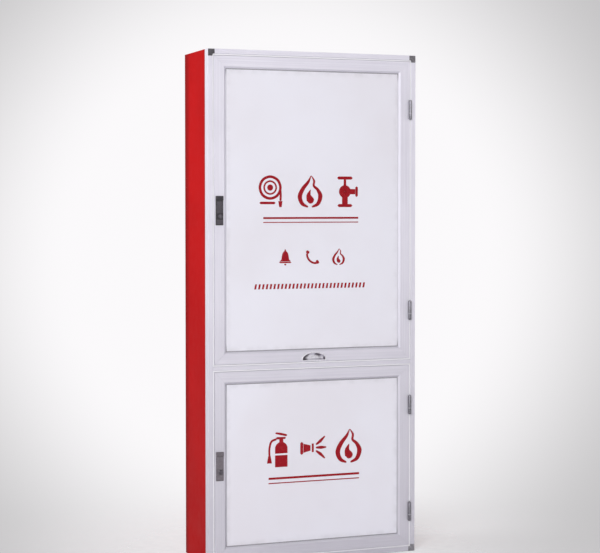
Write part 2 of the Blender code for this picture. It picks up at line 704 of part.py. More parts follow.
def build_pull(door, rail, z_low, finishes):
    """The recessed half-moon pull: a rimmed cup through the face of the upper door's bottom rail."""
    where = at_front(0, z_low + (STILE_FACE - PULL_HEIGHT) / 2)
    rim = half_moon(PULL_WIDTH, PULL_HEIGHT)
    pull = plate("upper_door_pull", [rim], -PULL_PROUD, -FIT, where, door, finishes["chrome"])
    cup = half_moon(PULL_WIDTH, PULL_HEIGHT, PULL_RIM)
    combine(pull, plate("pull_cup", [cup], -PULL_PROUD / 2, PULL_DEPTH, where, door), "UNION")

    mouth = half_moon(PULL_WIDTH, PULL_HEIGHT, PULL_RIM + PULL_WALL)
    floor = half_moon(PULL_WIDTH, PULL_HEIGHT, PULL_RIM + PULL_WALL + PULL_DRAFT)
    front, back = -PULL_PROUD - CUT_PAST, PULL_DEPTH - PULL_WALL
    shape = bmesh.new()
    rings = []
    for outline, depth in ((mouth, front), (mouth, 0.0), (floor, back)):
        ring = [shape.verts.new((x, depth, z)) for x, z in outline]
        rings.append(ring)
    for near, far in zip(rings, rings[1:]):
        for i, vert in enumerate(near):
            shape.faces.new((vert, near[i - 1], far[i - 1], far[i]))
    shape.faces.new(rings[0])
    shape.faces.new(rings[-1])
    hollow = put(solid("pull_hollow_cutter", shape), where, door)
    combine(pull, hollow, "DIFFERENCE")

    opening = half_moon(PULL_WIDTH, PULL_HEIGHT, PULL_RIM - FIT)
    cutter = plate("pull_opening_cutter", [opening], -CUT_PAST, DOOR_WALL + CUT_PAST, where, door)
    combine(rail, cutter, "DIFFERENCE")


def build_door(prefix, z_low, z_high, hinges_from_ends, finishes):
    """One framed door with its panel, hinges and lock. Returns its axis empty and its bars."""
    door = axis_empty(f"{prefix}_door_axis", (HINGE_X, HINGE_Y, (z_low + z_high) / 2))
    half = WIDTH / 2 - DOOR_INSET
    low, high = (-half, z_low), (half, z_high)
    bars = mitred_frame(f"{prefix}_door", low, high, door_section(), finishes["aluminium"], door)

    front = BEAD_DEPTH + FIT
    sheet = drawn_in(low, high, STILE_FACE + FIT)
    here = at_front(0, 0)
    plate(f"{prefix}_door_panel", [sheet], front, front + PANEL_SHEET, here, door, finishes["white_paint"])
    rim = STILE_FACE + BEAD_WIDTH + FIT
    ring = [drawn_in(low, high, rim), drawn_in(low, high, rim + GASKET_WIDTH)]
    gasket_front = front - FIT - GASKET_THICKNESS
    plate(f"{prefix}_door_gasket", ring, gasket_front, front - FIT, here, door, finishes["rubber"])

    steel = finishes["dark_steel"]
    above_bottom, below_top = hinges_from_ends
    build_hinge(f"{prefix}_top", z_high - below_top, door, steel)
    build_hinge(f"{prefix}_bottom", z_low + above_bottom, door, steel)
    lock_x = -half + STILE_FACE / 2
    build_lock(f"{prefix}_lock", door, lock_x, (z_low + z_high) / 2, bars["left_stile"], finishes)
    return door, bars


def main():
    clear_scene()
    finishes = make_finishes()
    build_box(finishes["red_paint"])
    build_frame(finishes)
    build_door("lower", DOOR_INSET, LOWER_DOOR_TOP, LOWER_HINGES_FROM_ENDS, finishes)
    upper, bars = build_door(
        "upper", UPPER_DOOR_BOTTOM, HEIGHT - DOOR_INSET, UPPER_HINGES_FROM_ENDS, finishes
    )
    build_pull(upper, bars["bottom_rail"], UPPER_DOOR_BOTTOM, finishes)


main()
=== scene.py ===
"""The looks of the fire hydrant cabinet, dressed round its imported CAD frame.

Metres, in the CAD's own frame: +X is right as you face the doors, +Y goes into the cabinet, +Z is up.
Depths are counted from the front face of the aluminium frame, as they are in the part's source.
"""

from __future__ import annotations

import logging
import math
from dataclasses import dataclass, field
from enum import Enum
from typing import Any, Iterable

import bpy
import numpy as np
from mathutils import Euler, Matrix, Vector


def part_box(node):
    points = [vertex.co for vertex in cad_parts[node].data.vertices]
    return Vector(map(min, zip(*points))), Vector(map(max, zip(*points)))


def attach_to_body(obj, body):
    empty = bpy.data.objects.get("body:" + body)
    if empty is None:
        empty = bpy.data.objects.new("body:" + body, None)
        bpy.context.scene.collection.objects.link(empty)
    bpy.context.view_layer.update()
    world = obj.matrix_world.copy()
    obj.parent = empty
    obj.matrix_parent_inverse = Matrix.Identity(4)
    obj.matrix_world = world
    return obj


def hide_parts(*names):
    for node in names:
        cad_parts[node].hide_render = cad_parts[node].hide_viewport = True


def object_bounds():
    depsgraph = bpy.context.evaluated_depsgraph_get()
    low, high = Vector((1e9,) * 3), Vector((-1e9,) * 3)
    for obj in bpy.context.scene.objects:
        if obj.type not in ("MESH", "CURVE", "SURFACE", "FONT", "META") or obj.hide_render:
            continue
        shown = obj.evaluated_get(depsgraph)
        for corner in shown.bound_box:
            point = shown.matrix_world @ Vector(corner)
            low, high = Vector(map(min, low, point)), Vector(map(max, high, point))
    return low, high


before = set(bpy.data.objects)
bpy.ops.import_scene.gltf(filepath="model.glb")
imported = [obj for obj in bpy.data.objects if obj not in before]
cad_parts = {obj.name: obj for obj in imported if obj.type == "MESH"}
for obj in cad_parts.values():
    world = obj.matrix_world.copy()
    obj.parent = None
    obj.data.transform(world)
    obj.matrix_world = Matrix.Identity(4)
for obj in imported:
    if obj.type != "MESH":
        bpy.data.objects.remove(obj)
CAD_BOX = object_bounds()

LOG = logging.getLogger("cabinet")
FRONT_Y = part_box("frame_left_stile")[0].y
PANEL_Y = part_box("upper_door_panel")[0].y
# The small distance that keeps two faces from lying together
FIT = 0.0003
ARC_STEPS = 6
ROUND_STEPS = 48

X_AXIS, Y_AXIS, Z_AXIS = np.eye(3)

Flat = tuple[float, float]
Triple = tuple[float, float, float]
# The limits of Value.ramp: from, to, and the result at each
Ramp = tuple[float, float, float, float]
Material = bpy.types.Material


class Body(Enum):
    """The CAD bodies that pieces ride on."""

    CABINET = "cabinet"
    UPPER_DOOR = "upper_door"
    LOWER_DOOR = "lower_door"
    UPPER_LOCK = "upper_lock"
    LOWER_LOCK = "lower_lock"


class Grain(Enum):
    """The way that a bar was drawn, as the stretch of its lines along X, Y and Z."""

    ALONG_X = (0.004, 1.0, 1.0)
    ALONG_Z = (1.0, 1.0, 0.004)


class Sign(Enum):
    """The generic marks that are screen printed on the doors."""

    HOSE_REEL = "hose reel"
    FLAME = "flame"
    VALVE = "hydrant valve"
    EXTINGUISHER = "extinguisher"
    SPRAY = "spray nozzle"
    BELL = "bell"
    HANDSET = "handset"


# Shader nodes


@dataclass(frozen=True)
class Value:
    """A shader socket that takes part in Python arithmetic."""

    graph: Graph
    socket: bpy.types.NodeSocket

    def __add__(self, other: Value | float) -> Value:
        """The sum."""
        return self.graph.math("ADD", self, other)

    def __sub__(self, other: Value | float) -> Value:
        """The difference."""
        return self.graph.math("SUBTRACT", self, other)

    def __rsub__(self, other: float) -> Value:
        """The difference, the other way round."""
        return self.graph.math("SUBTRACT", other, self)

    def __mul__(self, other: Value | float) -> Value:
        """The product."""
        return self.graph.math("MULTIPLY", self, other)

    __radd__ = __add__
    __rmul__ = __mul__

    def __abs__(self) -> Value:
        """The size without its sign."""
        return self.graph.math("ABSOLUTE", self)

    def least(self, other: Value | float) -> Value:
        """The smaller of two."""
        return self.graph.math("MINIMUM", self, other)

    def most(self, other: Value | float) -> Value:
        """The larger of two."""
        return self.graph.math("MAXIMUM", self, other)

    def ramp(self, low: float, high: float, to_low: float = 0.0, to_high: float = 1.0) -> Value:
        """A smooth step between two limits.

        Args:
            low: the value that gives to_low.
            high: the value that gives to_high.
            to_low: the result at and below low.
            to_high: the result at and above high.

        Returns:
            The mapped value.
        """
        inputs = {"Value": self, "From Min": low, "From Max": high, "To Min": to_low, "To Max": to_high}
        made = self.graph.add("ShaderNodeMapRange", {"interpolation_type": "SMOOTHSTEP"}, inputs)
        return Value(self.graph, made.outputs[0])


class Graph:
    """Makes the nodes of one material or world."""

    def __init__(self, tree: bpy.types.NodeTree) -> None:
        """Starts from an empty tree."""
        self.tree = tree
        self.tree.nodes.clear()

    def add(self, kind: str, settings: dict[str, Any], inputs: dict[Any, Any]) -> bpy.types.Node:
        """Adds one node.

        Args:
            kind: the node's type.
            settings: its properties, which are set first.
            inputs: a value, colour or link for each named or numbered socket.

        Returns:
            The node.
        """
        made = self.tree.nodes.new(kind)
        for name, value in settings.items():
            setattr(made, name, value)
        for key, value in inputs.items():
            link = value.socket if isinstance(value, Value) else value
            if isinstance(link, bpy.types.NodeSocket):
                self.tree.links.new(link, made.inputs[key])
            else:
                made.inputs[key].default_value = link
        return made

    def math(self, operation: str, *operands: Any) -> Value:
        """The result of a Math node on numbers, values and links."""
        made = self.add("ShaderNodeMath", {"operation": operation}, dict(enumerate(operands)))
        return Value(self, made.outputs[0])

    def place(self) -> bpy.types.NodeSocket:
        """Where a point is, in metres, on the piece at rest."""
        return self.add("ShaderNodeTexCoord", {}, {}).outputs["Object"]

    def axes(self) -> tuple[Value, Value, Value]:
        """The three coordinates of a point on the piece."""
        split = self.add("ShaderNodeSeparateXYZ", {}, {0: self.place()})
        return tuple(Value(self, out) for out in split.outputs)

    def inside(self, low: Flat, high: Flat) -> tuple[Value, Value]:
        """How far a point is from the nearer side, and from the nearer end, of a door's rectangle."""
        x, _, z = self.axes()
        return (x - low[0]).least(high[0] - x), (z - low[1]).least(high[1] - z)

    def noise(
        self, scale: float, detail: float = 2.0, stretch: Triple = (1.0, 1.0, 1.0), shift: float = 0.0
    ) -> Value:
        """Fractal noise over the piece.

        Args:
            scale: how many waves there are to a metre.
            detail: how many finer layers are added.
            stretch: a factor on the scale along each axis.
            shift: moves the pattern, so that two of them don't match.

        Returns:
            A value of about 0.3 to 0.7, with 0.5 in the middle.
        """
        inputs = {"Vector": self.place(), "Scale": stretch, "Location": (shift, shift, shift)}
        spot = self.add("ShaderNodeMapping", {}, inputs).outputs[0]
        made = self.add("ShaderNodeTexNoise", {}, {"Vector": spot, "Scale": scale, "Detail": detail})
        return Value(self, made.outputs["Fac"])

    def mix(self, factor: Value | float, low: Any, high: Any) -> bpy.types.NodeSocket:
        """A colour between two colours.

        Args:
            factor: 0 for the first, 1 for the second.
            low: the first, as an RGB triple or a link.
            high: the second.

        Returns:
            The colour socket.
        """
        ends = [(*end, 1.0) if isinstance(end, tuple) else end for end in (low, high)]
        inputs = {0: factor, 6: ends[0], 7: ends[1]}
        return self.add("ShaderNodeMix", {"data_type": "RGBA"}, inputs).outputs[2]

    def bump(
        self, height: Value, distance: float, strength: float = 1.0, under: Any = None
    ) -> bpy.types.NodeSocket:
        """A bumped normal.

        Args:
            height: 0 to 1 over the surface.
            distance: what a height of 1 stands for, in metres.
            strength: how much of it shows.
            under: the normal that this bump is laid over.

        Returns:
            The normal socket.
        """
        inputs = {"Height": height, "Distance": distance, "Strength": strength}
        if under is not None:
            inputs["Normal"] = under
        return self.add("ShaderNodeBump", {}, inputs).outputs[0]

    def surface(self, colour: Any, rough: Any, normal: Any, others: dict[str, Any] | None = None) -> None:
        """Ends a material in a Principled BSDF.

        Args:
            colour: its base colour.
            rough: its roughness.
            normal: its bumped normal.
            others: what its other sockets hold, by name.
        """
        inputs = {"Base Color": colour, "Roughness": rough, "Normal": normal, **(others or {})}
        shader = self.add("ShaderNodeBsdfPrincipled", {}, inputs)
        self.add("ShaderNodeOutputMaterial", {}, {"Surface": shader.outputs[0]})


def new_material(name: str) -> tuple[Material, Graph]:
    """Makes a material.

    Args:
        name: its name.

    Returns:
        The material and its empty graph.
    """
    made = bpy.data.materials.new(name)
    made.use_nodes = True
    return made, Graph(made.node_tree)


# Finishes


@dataclass(frozen=True)
class RedPaint:
    """Red enamel sprayed on folded sheet: orange peel, slow colour drift, dust low down, chipped folds, and
    painted shade near its edges and towards the bottom.

    Its shades and widths are ramps over metres: how much painted shade deepens the colour, or how much dust
    or chipping there is, at two distances from an edge or from the ground.
    """

    colour: Triple = (0.47, 0.004, 0.005)
    shade: Triple = (0.42, 0.003, 0.004)
    dust: Triple = (0.50, 0.34, 0.32)
    chip: Triple = (0.22, 0.05, 0.05)
    # deep is the colour of the painted shade
    deep: Triple = (0.22, 0.003, 0.004)
    frame_depth: float = 0.030
    outer_skin: Ramp = (0.0, 0.0016, 1.0, 0.0)
    edge_shade: Ramp = (0.001, 0.014, 0.50, 0.0)
    back_shade: Ramp = (0.004, 0.062, 0.92, 0.0)
    ground_shade: Ramp = (0.0, 1.1, 0.30, 0.0)
    dust_height: Ramp = (0.02, 0.40, 1.0, 0.0)
    fold_width: Ramp = (0.0, 0.0030, 1.0, 0.0)
    dustiness: float = 0.04
    roughness: float = 0.42
    gloss: float = 0.02

    def material(self) -> Material:
        """Builds the paint.

        Returns:
            The material. Painted shade deepens its colour near the frame and the back edge, most along the
            back folds of its outer sides, and towards the bottom. Its folds, on the box's outer edges,
            carry small chips.
        """
        made, graph = new_material("red_enamel")
        x, y, z = graph.axes()
        to_back = CAD_BOX[1].y - y
        outside = (CAD_BOX[1].x - abs(x)).ramp(*self.outer_skin)
        colour = graph.mix(graph.noise(3.5, 3.0).ramp(0.35, 0.65), self.shade, self.colour)
        # Painted shade: darker near the back edge and the frame, along the back folds of the outer sides,
        # and towards the bottom
        edges = to_back.least(y - FRONT_Y - self.frame_depth).ramp(*self.edge_shade)
        edges = edges.most(to_back.ramp(*self.back_shade) * outside)
        colour = graph.mix(edges.most(z.ramp(*self.ground_shade)), colour, self.deep)
        low_down = z.ramp(*self.dust_height) * graph.noise(14.0, 5.0, shift=3.0).ramp(0.42, 0.72)
        colour = graph.mix(low_down * self.dustiness, colour, self.dust)
        fold = outside * to_back.ramp(*self.fold_width)
        chips = fold * graph.noise(170.0, 4.0, shift=7.0).ramp(0.60, 0.64)
        rough = graph.noise(40.0, 3.0, shift=11.0) * 0.16 + self.roughness + low_down * 0.08
        peel = graph.bump(graph.noise(420.0, 2.0), 0.00012, 0.35)
        sheet = graph.bump(graph.noise(5.0, 1.0, shift=5.0), 0.0030, 0.35, peel)
        others = {"Specular IOR Level": self.gloss}
        graph.surface(graph.mix(chips, colour, self.chip), rough, sheet, others)
        return made


@dataclass(frozen=True)
class DrawnAluminium:
    """Satin anodised aluminium: die lines along the bar, a cloudy oxide layer and faint rubbing marks."""

    grain: Grain
    bright: Triple = (0.81, 0.79, 0.865)
    dull: Triple = (0.71, 0.69, 0.77)
    # The colour and height of the painted shade towards the bottom
    low_painted_shade: Triple = (0.47, 0.455, 0.50)
    low_painted_shade_height: Ramp = (0.0, 1.2, 0.5, 0.0)
    bare_metal: Ramp = (0.55, 0.80, 0.44, 0.54)
    roughness: float = 0.45

    def material(self) -> Material:
        """Builds the metal.

        Returns:
            The material, darkened towards the bottom by painted shade.
        """
        made, graph = new_material(f"satin_aluminium_{self.grain.name.lower()}")
        stretch = self.grain.value
        lines = graph.noise(1500.0, 2.0, stretch)
        bands = graph.noise(260.0, 1.0, stretch, shift=2.0)
        cloud = graph.noise(7.0, 4.0, shift=5.0)
        rubbed = graph.noise(60.0, 5.0, tuple(0.25 + 0.75 * v for v in stretch), shift=9.0)
        tone = lines * 0.45 + bands * 0.30 + cloud * 0.25
        colour = graph.mix(tone.ramp(0.36, 0.64), self.dull, self.bright)
        # Painted shade: darker towards the bottom
        colour = graph.mix(graph.axes()[2].ramp(*self.low_painted_shade_height), colour, self.low_painted_shade)
        rough = lines * 0.12 + cloud * 0.10 + rubbed.ramp(0.60, 0.75) * 0.10 + self.roughness
        drawn = graph.bump(lines * 0.6 + bands * 0.4, 0.00003, 0.5)
        graph.surface(colour, rough, drawn, {"Metallic": rubbed.ramp(*self.bare_metal)})
        return made


@dataclass(frozen=True)
class WhiteEnamel:
    """The white door sheet: baked enamel, faintly wavy, darker where it meets its gasket, from grime and
    painted shade.
    """

    name: str
    low: Flat
    high: Flat
    colour: Triple = (0.80, 0.79, 0.86)
    warm: Triple = (0.77, 0.75, 0.81)
    grime_and_shade: Triple = (0.46, 0.44, 0.47)
    grime_and_shade_width: Ramp = (0.006, 0.022, 1.0, 0.0)
    grime_and_shade_share: float = 0.22
    coat: Flat = (0.12, 0.22)
    roughness: float = 0.29

    def material(self) -> Material:
        """Builds the enamel.

        Returns:
            The material, whose grime and painted shade fade out in from the sheet's visible edge.
        """
        made, graph = new_material(f"white_enamel_{self.name}")
        side, end = graph.inside(self.low, self.high)
        colour = graph.mix(graph.noise(2.6, 3.0).ramp(0.36, 0.64), self.warm, self.colour)
        # Grime and painted shade: darker near the sheet's visible edge, in noisy patches
        grime_and_shade_mask = side.least(end).ramp(*self.grime_and_shade_width)
        grime_and_shade_mask = grime_and_shade_mask * graph.noise(34.0, 5.0, shift=4.0).ramp(0.30, 0.75)
        wiped = graph.noise(9.0, 4.0, (1.0, 1.0, 0.35), shift=8.0)
        peel = graph.bump(graph.noise(380.0, 2.0), 0.00008, 0.30)
        waves = graph.bump(graph.noise(3.4, 1.0, shift=6.0), 0.0040, 0.10, peel)
        rough = wiped * 0.14 + grime_and_shade_mask * 0.20 + self.roughness
        lacquer = dict(zip(("Coat Weight", "Coat Roughness"), self.coat))
        graph.surface(graph.mix(grime_and_shade_mask * self.grime_and_shade_share, colour, self.grime_and_shade), rough, waves, lacquer)
        return made


@dataclass(frozen=True)
class MouldedPlastic:
    """Moulded plastic with a spark-eroded grain, greyer where dust reaches it.

    A plastic with a rubbed colour has ribs, which hands rub between two heights above the frame.
    """

    name: str
    colour: Triple
    worn: Triple
    rubbed: Triple | None = None
    rub_starts: Flat = (0.0024, 0.0032)
    rub_ends: Ramp = (0.0036, 0.0039, 1.0, 0.0)
    roughness: float = 0.36

    def material(self) -> Material:
        """Builds the plastic.

        Returns:
            The material.
        """
        made, graph = new_material(self.name)
        worn = graph.noise(130.0, 4.0, shift=2.0).ramp(0.40, 0.72)
        colour = graph.mix(worn * 0.55, self.colour, self.worn)
        if self.rubbed:
            proud = FRONT_Y - graph.axes()[1]
            on_ribs = proud.ramp(*self.rub_starts) * proud.ramp(*self.rub_ends)
            colour = graph.mix(on_ribs * 0.5, colour, self.rubbed)
        rough = graph.noise(300.0, 3.0, shift=5.0) * 0.20 + self.roughness
        graph.surface(colour, rough, graph.bump(graph.noise(2600.0, 2.0), 0.00006, 0.6))
        return made


def plating(graph: Graph) -> tuple[Value, bpy.types.NodeSocket]:
    """The tarnish spots of a plated metal, from 0 to 1, and its finely bumped normal."""
    spots = graph.noise(210.0, 4.0, shift=1.0).ramp(0.42, 0.70)
    return spots, graph.bump(graph.noise(900.0, 3.0), 0.00003, 0.4)


@dataclass(frozen=True)
class PlatedMetal:
    """A plated or polished metal with fine wear and finger marks."""

    name: str
    colour: Triple
    tarnish: Triple
    roughness: float = 0.32

    def material(self) -> Material:
        """Builds the metal.

        Returns:
            The material.
        """
        made, graph = new_material(self.name)
        spots, normal = plating(graph)
        rough = graph.noise(70.0, 5.0, (1.0, 1.0, 0.3), shift=6.0) * 0.12 + self.roughness
        graph.surface(graph.mix(spots, self.colour, self.tarnish), rough, normal, {"Metallic": 1.0})
        return made


@dataclass(frozen=True)
class ShadowedChrome:
    """The pull's satin chrome, with a painted shadow under the crown of its cup towards both ends.

    Where the painted shadow begins and ends is given across the pull, as shares of half its width from the
    middle, up the crown's ellipse, as the square of its share, and into the cup, in metres.
    """

    bright: Triple = (0.86, 0.85, 0.90)
    tarnish: Triple = (0.74, 0.73, 0.77)
    painted_shadow: Triple = (0.18, 0.165, 0.19)
    up_crown: Flat = (0.14, 0.44)
    left_ends: Ramp = (-0.45, -0.22, 1.0, 0.0)
    right_starts: Flat = (0.04, 0.20)
    right_thins: Ramp = (0.45, 0.68, 1.0, 0.3)
    corner_starts: Flat = (0.76, 0.84)
    into_cup: Flat = (0.0004, 0.0014)
    roughness: float = 0.36

    def material(self, middle: float, base: float, half: float, rise: float) -> Material:
        """Builds the plating.

        Args:
            middle: the pull's middle across the door.
            base: the height that its crown springs from.
            half: half its width.
            rise: how high its crown is.

        Returns:
            The material.
        """
        made, graph = new_material("satin_chrome")
        x, y, z = graph.axes()
        aside = (x - middle) * (1.0 / half)
        up = (z - base).most(0.0) * (1.0 / rise)
        spots, normal = plating(graph)
        # Painted shadow under the crown of the cup, towards both ends and into the cup
        crown = (aside * aside + up * up).ramp(*self.up_crown)
        left = aside.ramp(*self.left_ends)
        right = aside.ramp(*self.right_starts) * aside.ramp(*self.right_thins)
        in_cup = (y - FRONT_Y).ramp(*self.into_cup)
        painted_shadow_mask = (crown * (left + right)).most(aside.ramp(*self.corner_starts)) * in_cup
        colour = graph.mix(painted_shadow_mask, graph.mix(spots, self.bright, self.tarnish), self.painted_shadow)
        rough = spots * 0.08 + painted_shadow_mask * 0.2 + self.roughness
        graph.surface(colour, rough, normal, {"Metallic": 1.0})
        return made


@dataclass(frozen=True)
class SoftStrip:
    """Foam or rubber: matt and pored, with dust in its pores.

    A strip with a side colour goes round a door's rectangle, and is painted lighter along its two sides, as
    painted light.
    """

    name: str
    colour: Triple
    dusty: Triple
    pores: float
    depth: float
    painted_light_on_sides: Triple | None = None
    low: Flat = (0.0, 0.0)
    high: Flat = (0.0, 0.0)
    mitre: Flat = (0.0, 0.03)
    roughness: float = 0.65

    def material(self) -> Material:
        """Builds the foam or rubber.

        Returns:
            The material.
        """
        made, graph = new_material(self.name)
        pores = graph.noise(self.pores, 3.0)
        colour = graph.mix(pores.ramp(0.45, 0.70), self.colour, self.dusty)
        if self.painted_light_on_sides:
            side, end = graph.inside(self.low, self.high)
            # Painted light: lighter along the stiles than along the rails
            colour = graph.mix((end - side).ramp(*self.mitre), colour, self.painted_light_on_sides)
        graph.surface(colour, pores * 0.2 + self.roughness, graph.bump(pores, self.depth, 0.8))
        return made


@dataclass(frozen=True)
class ScreenInk:
    """Red screen ink: a thin even film with a slight mottle and pinholes of thinner ink."""

    colour: Triple = (0.30, 0.007, 0.014)
    thin: Triple = (0.40, 0.020, 0.030)
    roughness: float = 0.35
    gloss: float = 0.12

    def material(self) -> Material:
        """Builds the ink.

        Returns:
            The material.
        """
        made, graph = new_material("red_screen_ink")
        mottle = graph.noise(160.0, 4.0).ramp(0.45, 0.75)
        rough = graph.noise(700.0, 2.0) * 0.2 + self.roughness
        normal = graph.bump(graph.noise(1100.0, 2.0), 0.00003, 0.5)
        colour = graph.mix(mottle * 0.6, self.colour, self.thin)
        graph.surface(colour, rough, normal, {"Specular IOR Level": self.gloss})
        return made


# Meshes from numpy grids


def rays(angles: np.ndarray) -> np.ndarray:
    """The unit vectors at some angles."""
    return np.stack([np.cos(angles), np.sin(angles)], axis=-1)


def circle(radius: float, steps: int = ROUND_STEPS, middle: Flat = (0.0, 0.0)) -> np.ndarray:
    """A circle's points."""
    return np.array(middle) + radius * rays(np.linspace(0, 2 * np.pi, steps, endpoint=False))


def rounded(corners: list[Triple], steps: int = ARC_STEPS) -> np.ndarray:
    """A closed outline with an arc at each corner.

    Each arc's centre lies on the corner's bisector, its radius over the sine of half the corner away, and
    the arc runs between the feet of that centre on the two sides.

    Args:
        corners: x, y and radius of each corner, in order round the outline.
        steps: how many chords an arc has.

    Returns:
        The outline's points.
    """
    table = np.array(corners)
    spot, radius = table[:, :2], table[:, 2:]
    before = np.roll(spot, 1, axis=0) - spot
    after = np.roll(spot, -1, axis=0) - spot
    before /= np.linalg.norm(before, axis=1, keepdims=True)
    after /= np.linalg.norm(after, axis=1, keepdims=True)
    bisector = before + after
    bisector /= np.linalg.norm(bisector, axis=1, keepdims=True)
    cosine = (before * bisector).sum(axis=1, keepdims=True)
    sine = np.sqrt(1 - cosine**2)
    centre = spot + bisector * radius / sine
    start = spot + before * radius * cosine / sine - centre
    end = spot + after * radius * cosine / sine - centre
    first = np.arctan2(start[:, 1], start[:, 0])
    sweep = (np.arctan2(end[:, 1], end[:, 0]) - first + np.pi) % (2 * np.pi) - np.pi
    angle = first[:, None] + sweep[:, None] * np.linspace(0, 1, steps + 1)
    return (centre[:, None] + rays(angle) * radius[:, None]).reshape(-1, 2)


def oblong(size: Flat, radius: float, middle: Flat = (0.0, 0.0), steps: int = ARC_STEPS) -> np.ndarray:
    """A rounded rectangle about its middle, counter-clockwise from its first corner."""
    signs = ((-0.5, -0.5), (0.5, -0.5), (0.5, 0.5), (-0.5, 0.5))
    return rounded([(middle[0] + a * size[0], middle[1] + b * size[1], radius) for a, b in signs], steps)


def seen_from(outline: np.ndarray, centre: Flat, angles: np.ndarray) -> np.ndarray:
    """Samples a star-shaped outline along rays from a point inside it.

    A ray of direction d meets the side from a to b at the distance (a x (b - a)) / (d x (b - a)), and it
    does so within the side where a x d and d x b are both positive.

    Args:
        outline: closed outline, counter-clockwise.
        centre: where the rays start.
        angles: the rays' angles.

    Returns:
        A point for each angle.
    """
    a = outline - np.array(centre)
    b = np.roll(a, -1, axis=0)
    d = rays(angles)[:, None]

    def cross(u: np.ndarray, v: np.ndarray) -> np.ndarray:
        """The z part of a cross product."""
        return u[..., 0] * v[..., 1] - u[..., 1] * v[..., 0]

    tiny = 1e-12
    within = (cross(a, d) >= -tiny) & (cross(d, b) >= -tiny)
    slope = cross(d, b - a)
    safe = np.where(slope > tiny, slope, 1.0)
    reach = np.where(within & (slope > tiny), cross(a, b - a) / safe, 0.0)
    return np.array(centre) + d[:, 0] * reach.max(axis=1)[:, None]


def drawn_in(outline: np.ndarray, inset: float) -> np.ndarray:
    """An outline moved inwards by its mitred normals.

    Each point moves by inset * (n1 + n2) / (1 + n1 . n2), where n1 and n2 are the inward normals of the
    sides that meet in it.

    Args:
        outline: closed outline, counter-clockwise.
        inset: how far in, or out where it is negative.

    Returns:
        The new outline, point for point.
    """
    side = np.roll(outline, -1, axis=0) - outline
    normal = np.stack([-side[:, 1], side[:, 0]], axis=-1)
    normal /= np.linalg.norm(normal, axis=1, keepdims=True)
    earlier = np.roll(normal, 1, axis=0)
    share = 1 + (normal * earlier).sum(axis=1, keepdims=True)
    return outline + inset * (normal + earlier) / share


def rounded_rim(back: float, front: float, radius: float, steps: int = 4) -> np.ndarray:
    """The steps of a wall that rises from back to front and rounds over at the front.

    After its foot at (0, back), it goes through (r (1 - cos t), front - r + r sin t), with t from 0 to a
    right angle and r its radius.

    Args:
        back: how proud the wall's foot is.
        front: how proud its top is.
        radius: the rounding's radius.
        steps: how many chords the rounding has.

    Returns:
        The (inset, proud) steps.
    """
    angle = np.linspace(0, np.pi / 2, steps + 1)
    turn = np.stack([radius * (1 - np.cos(angle)), front - radius + radius * np.sin(angle)], axis=-1)
    return np.concatenate([[[0.0, back]], turn])


@dataclass(frozen=True)
class Seat:
    """A plane that outlines are drawn on: where its origin is, and which way is right, up and out."""

    origin: np.ndarray
    right: np.ndarray = field(default_factory=lambda: X_AXIS)
    up: np.ndarray = field(default_factory=lambda: Z_AXIS)
    out: np.ndarray = field(default_factory=lambda: -Y_AXIS)

    def place(self, flat: np.ndarray, proud: np.ndarray | float) -> np.ndarray:
        """Lifts flat points, right and up in their last axis, to x, y and z, proud out of the plane."""
        high = np.broadcast_to(np.asarray(proud, dtype=float)[..., None], (*flat.shape[:-1], 1))
        return self.origin + flat[..., :1] * self.right + flat[..., 1:] * self.up + high * self.out


def on_front(x: float, z: float, y: float = FRONT_Y) -> Seat:
    """The seat at a point of the frame's front face, or of another upright plane."""
    return Seat(np.array([x, y, z]))


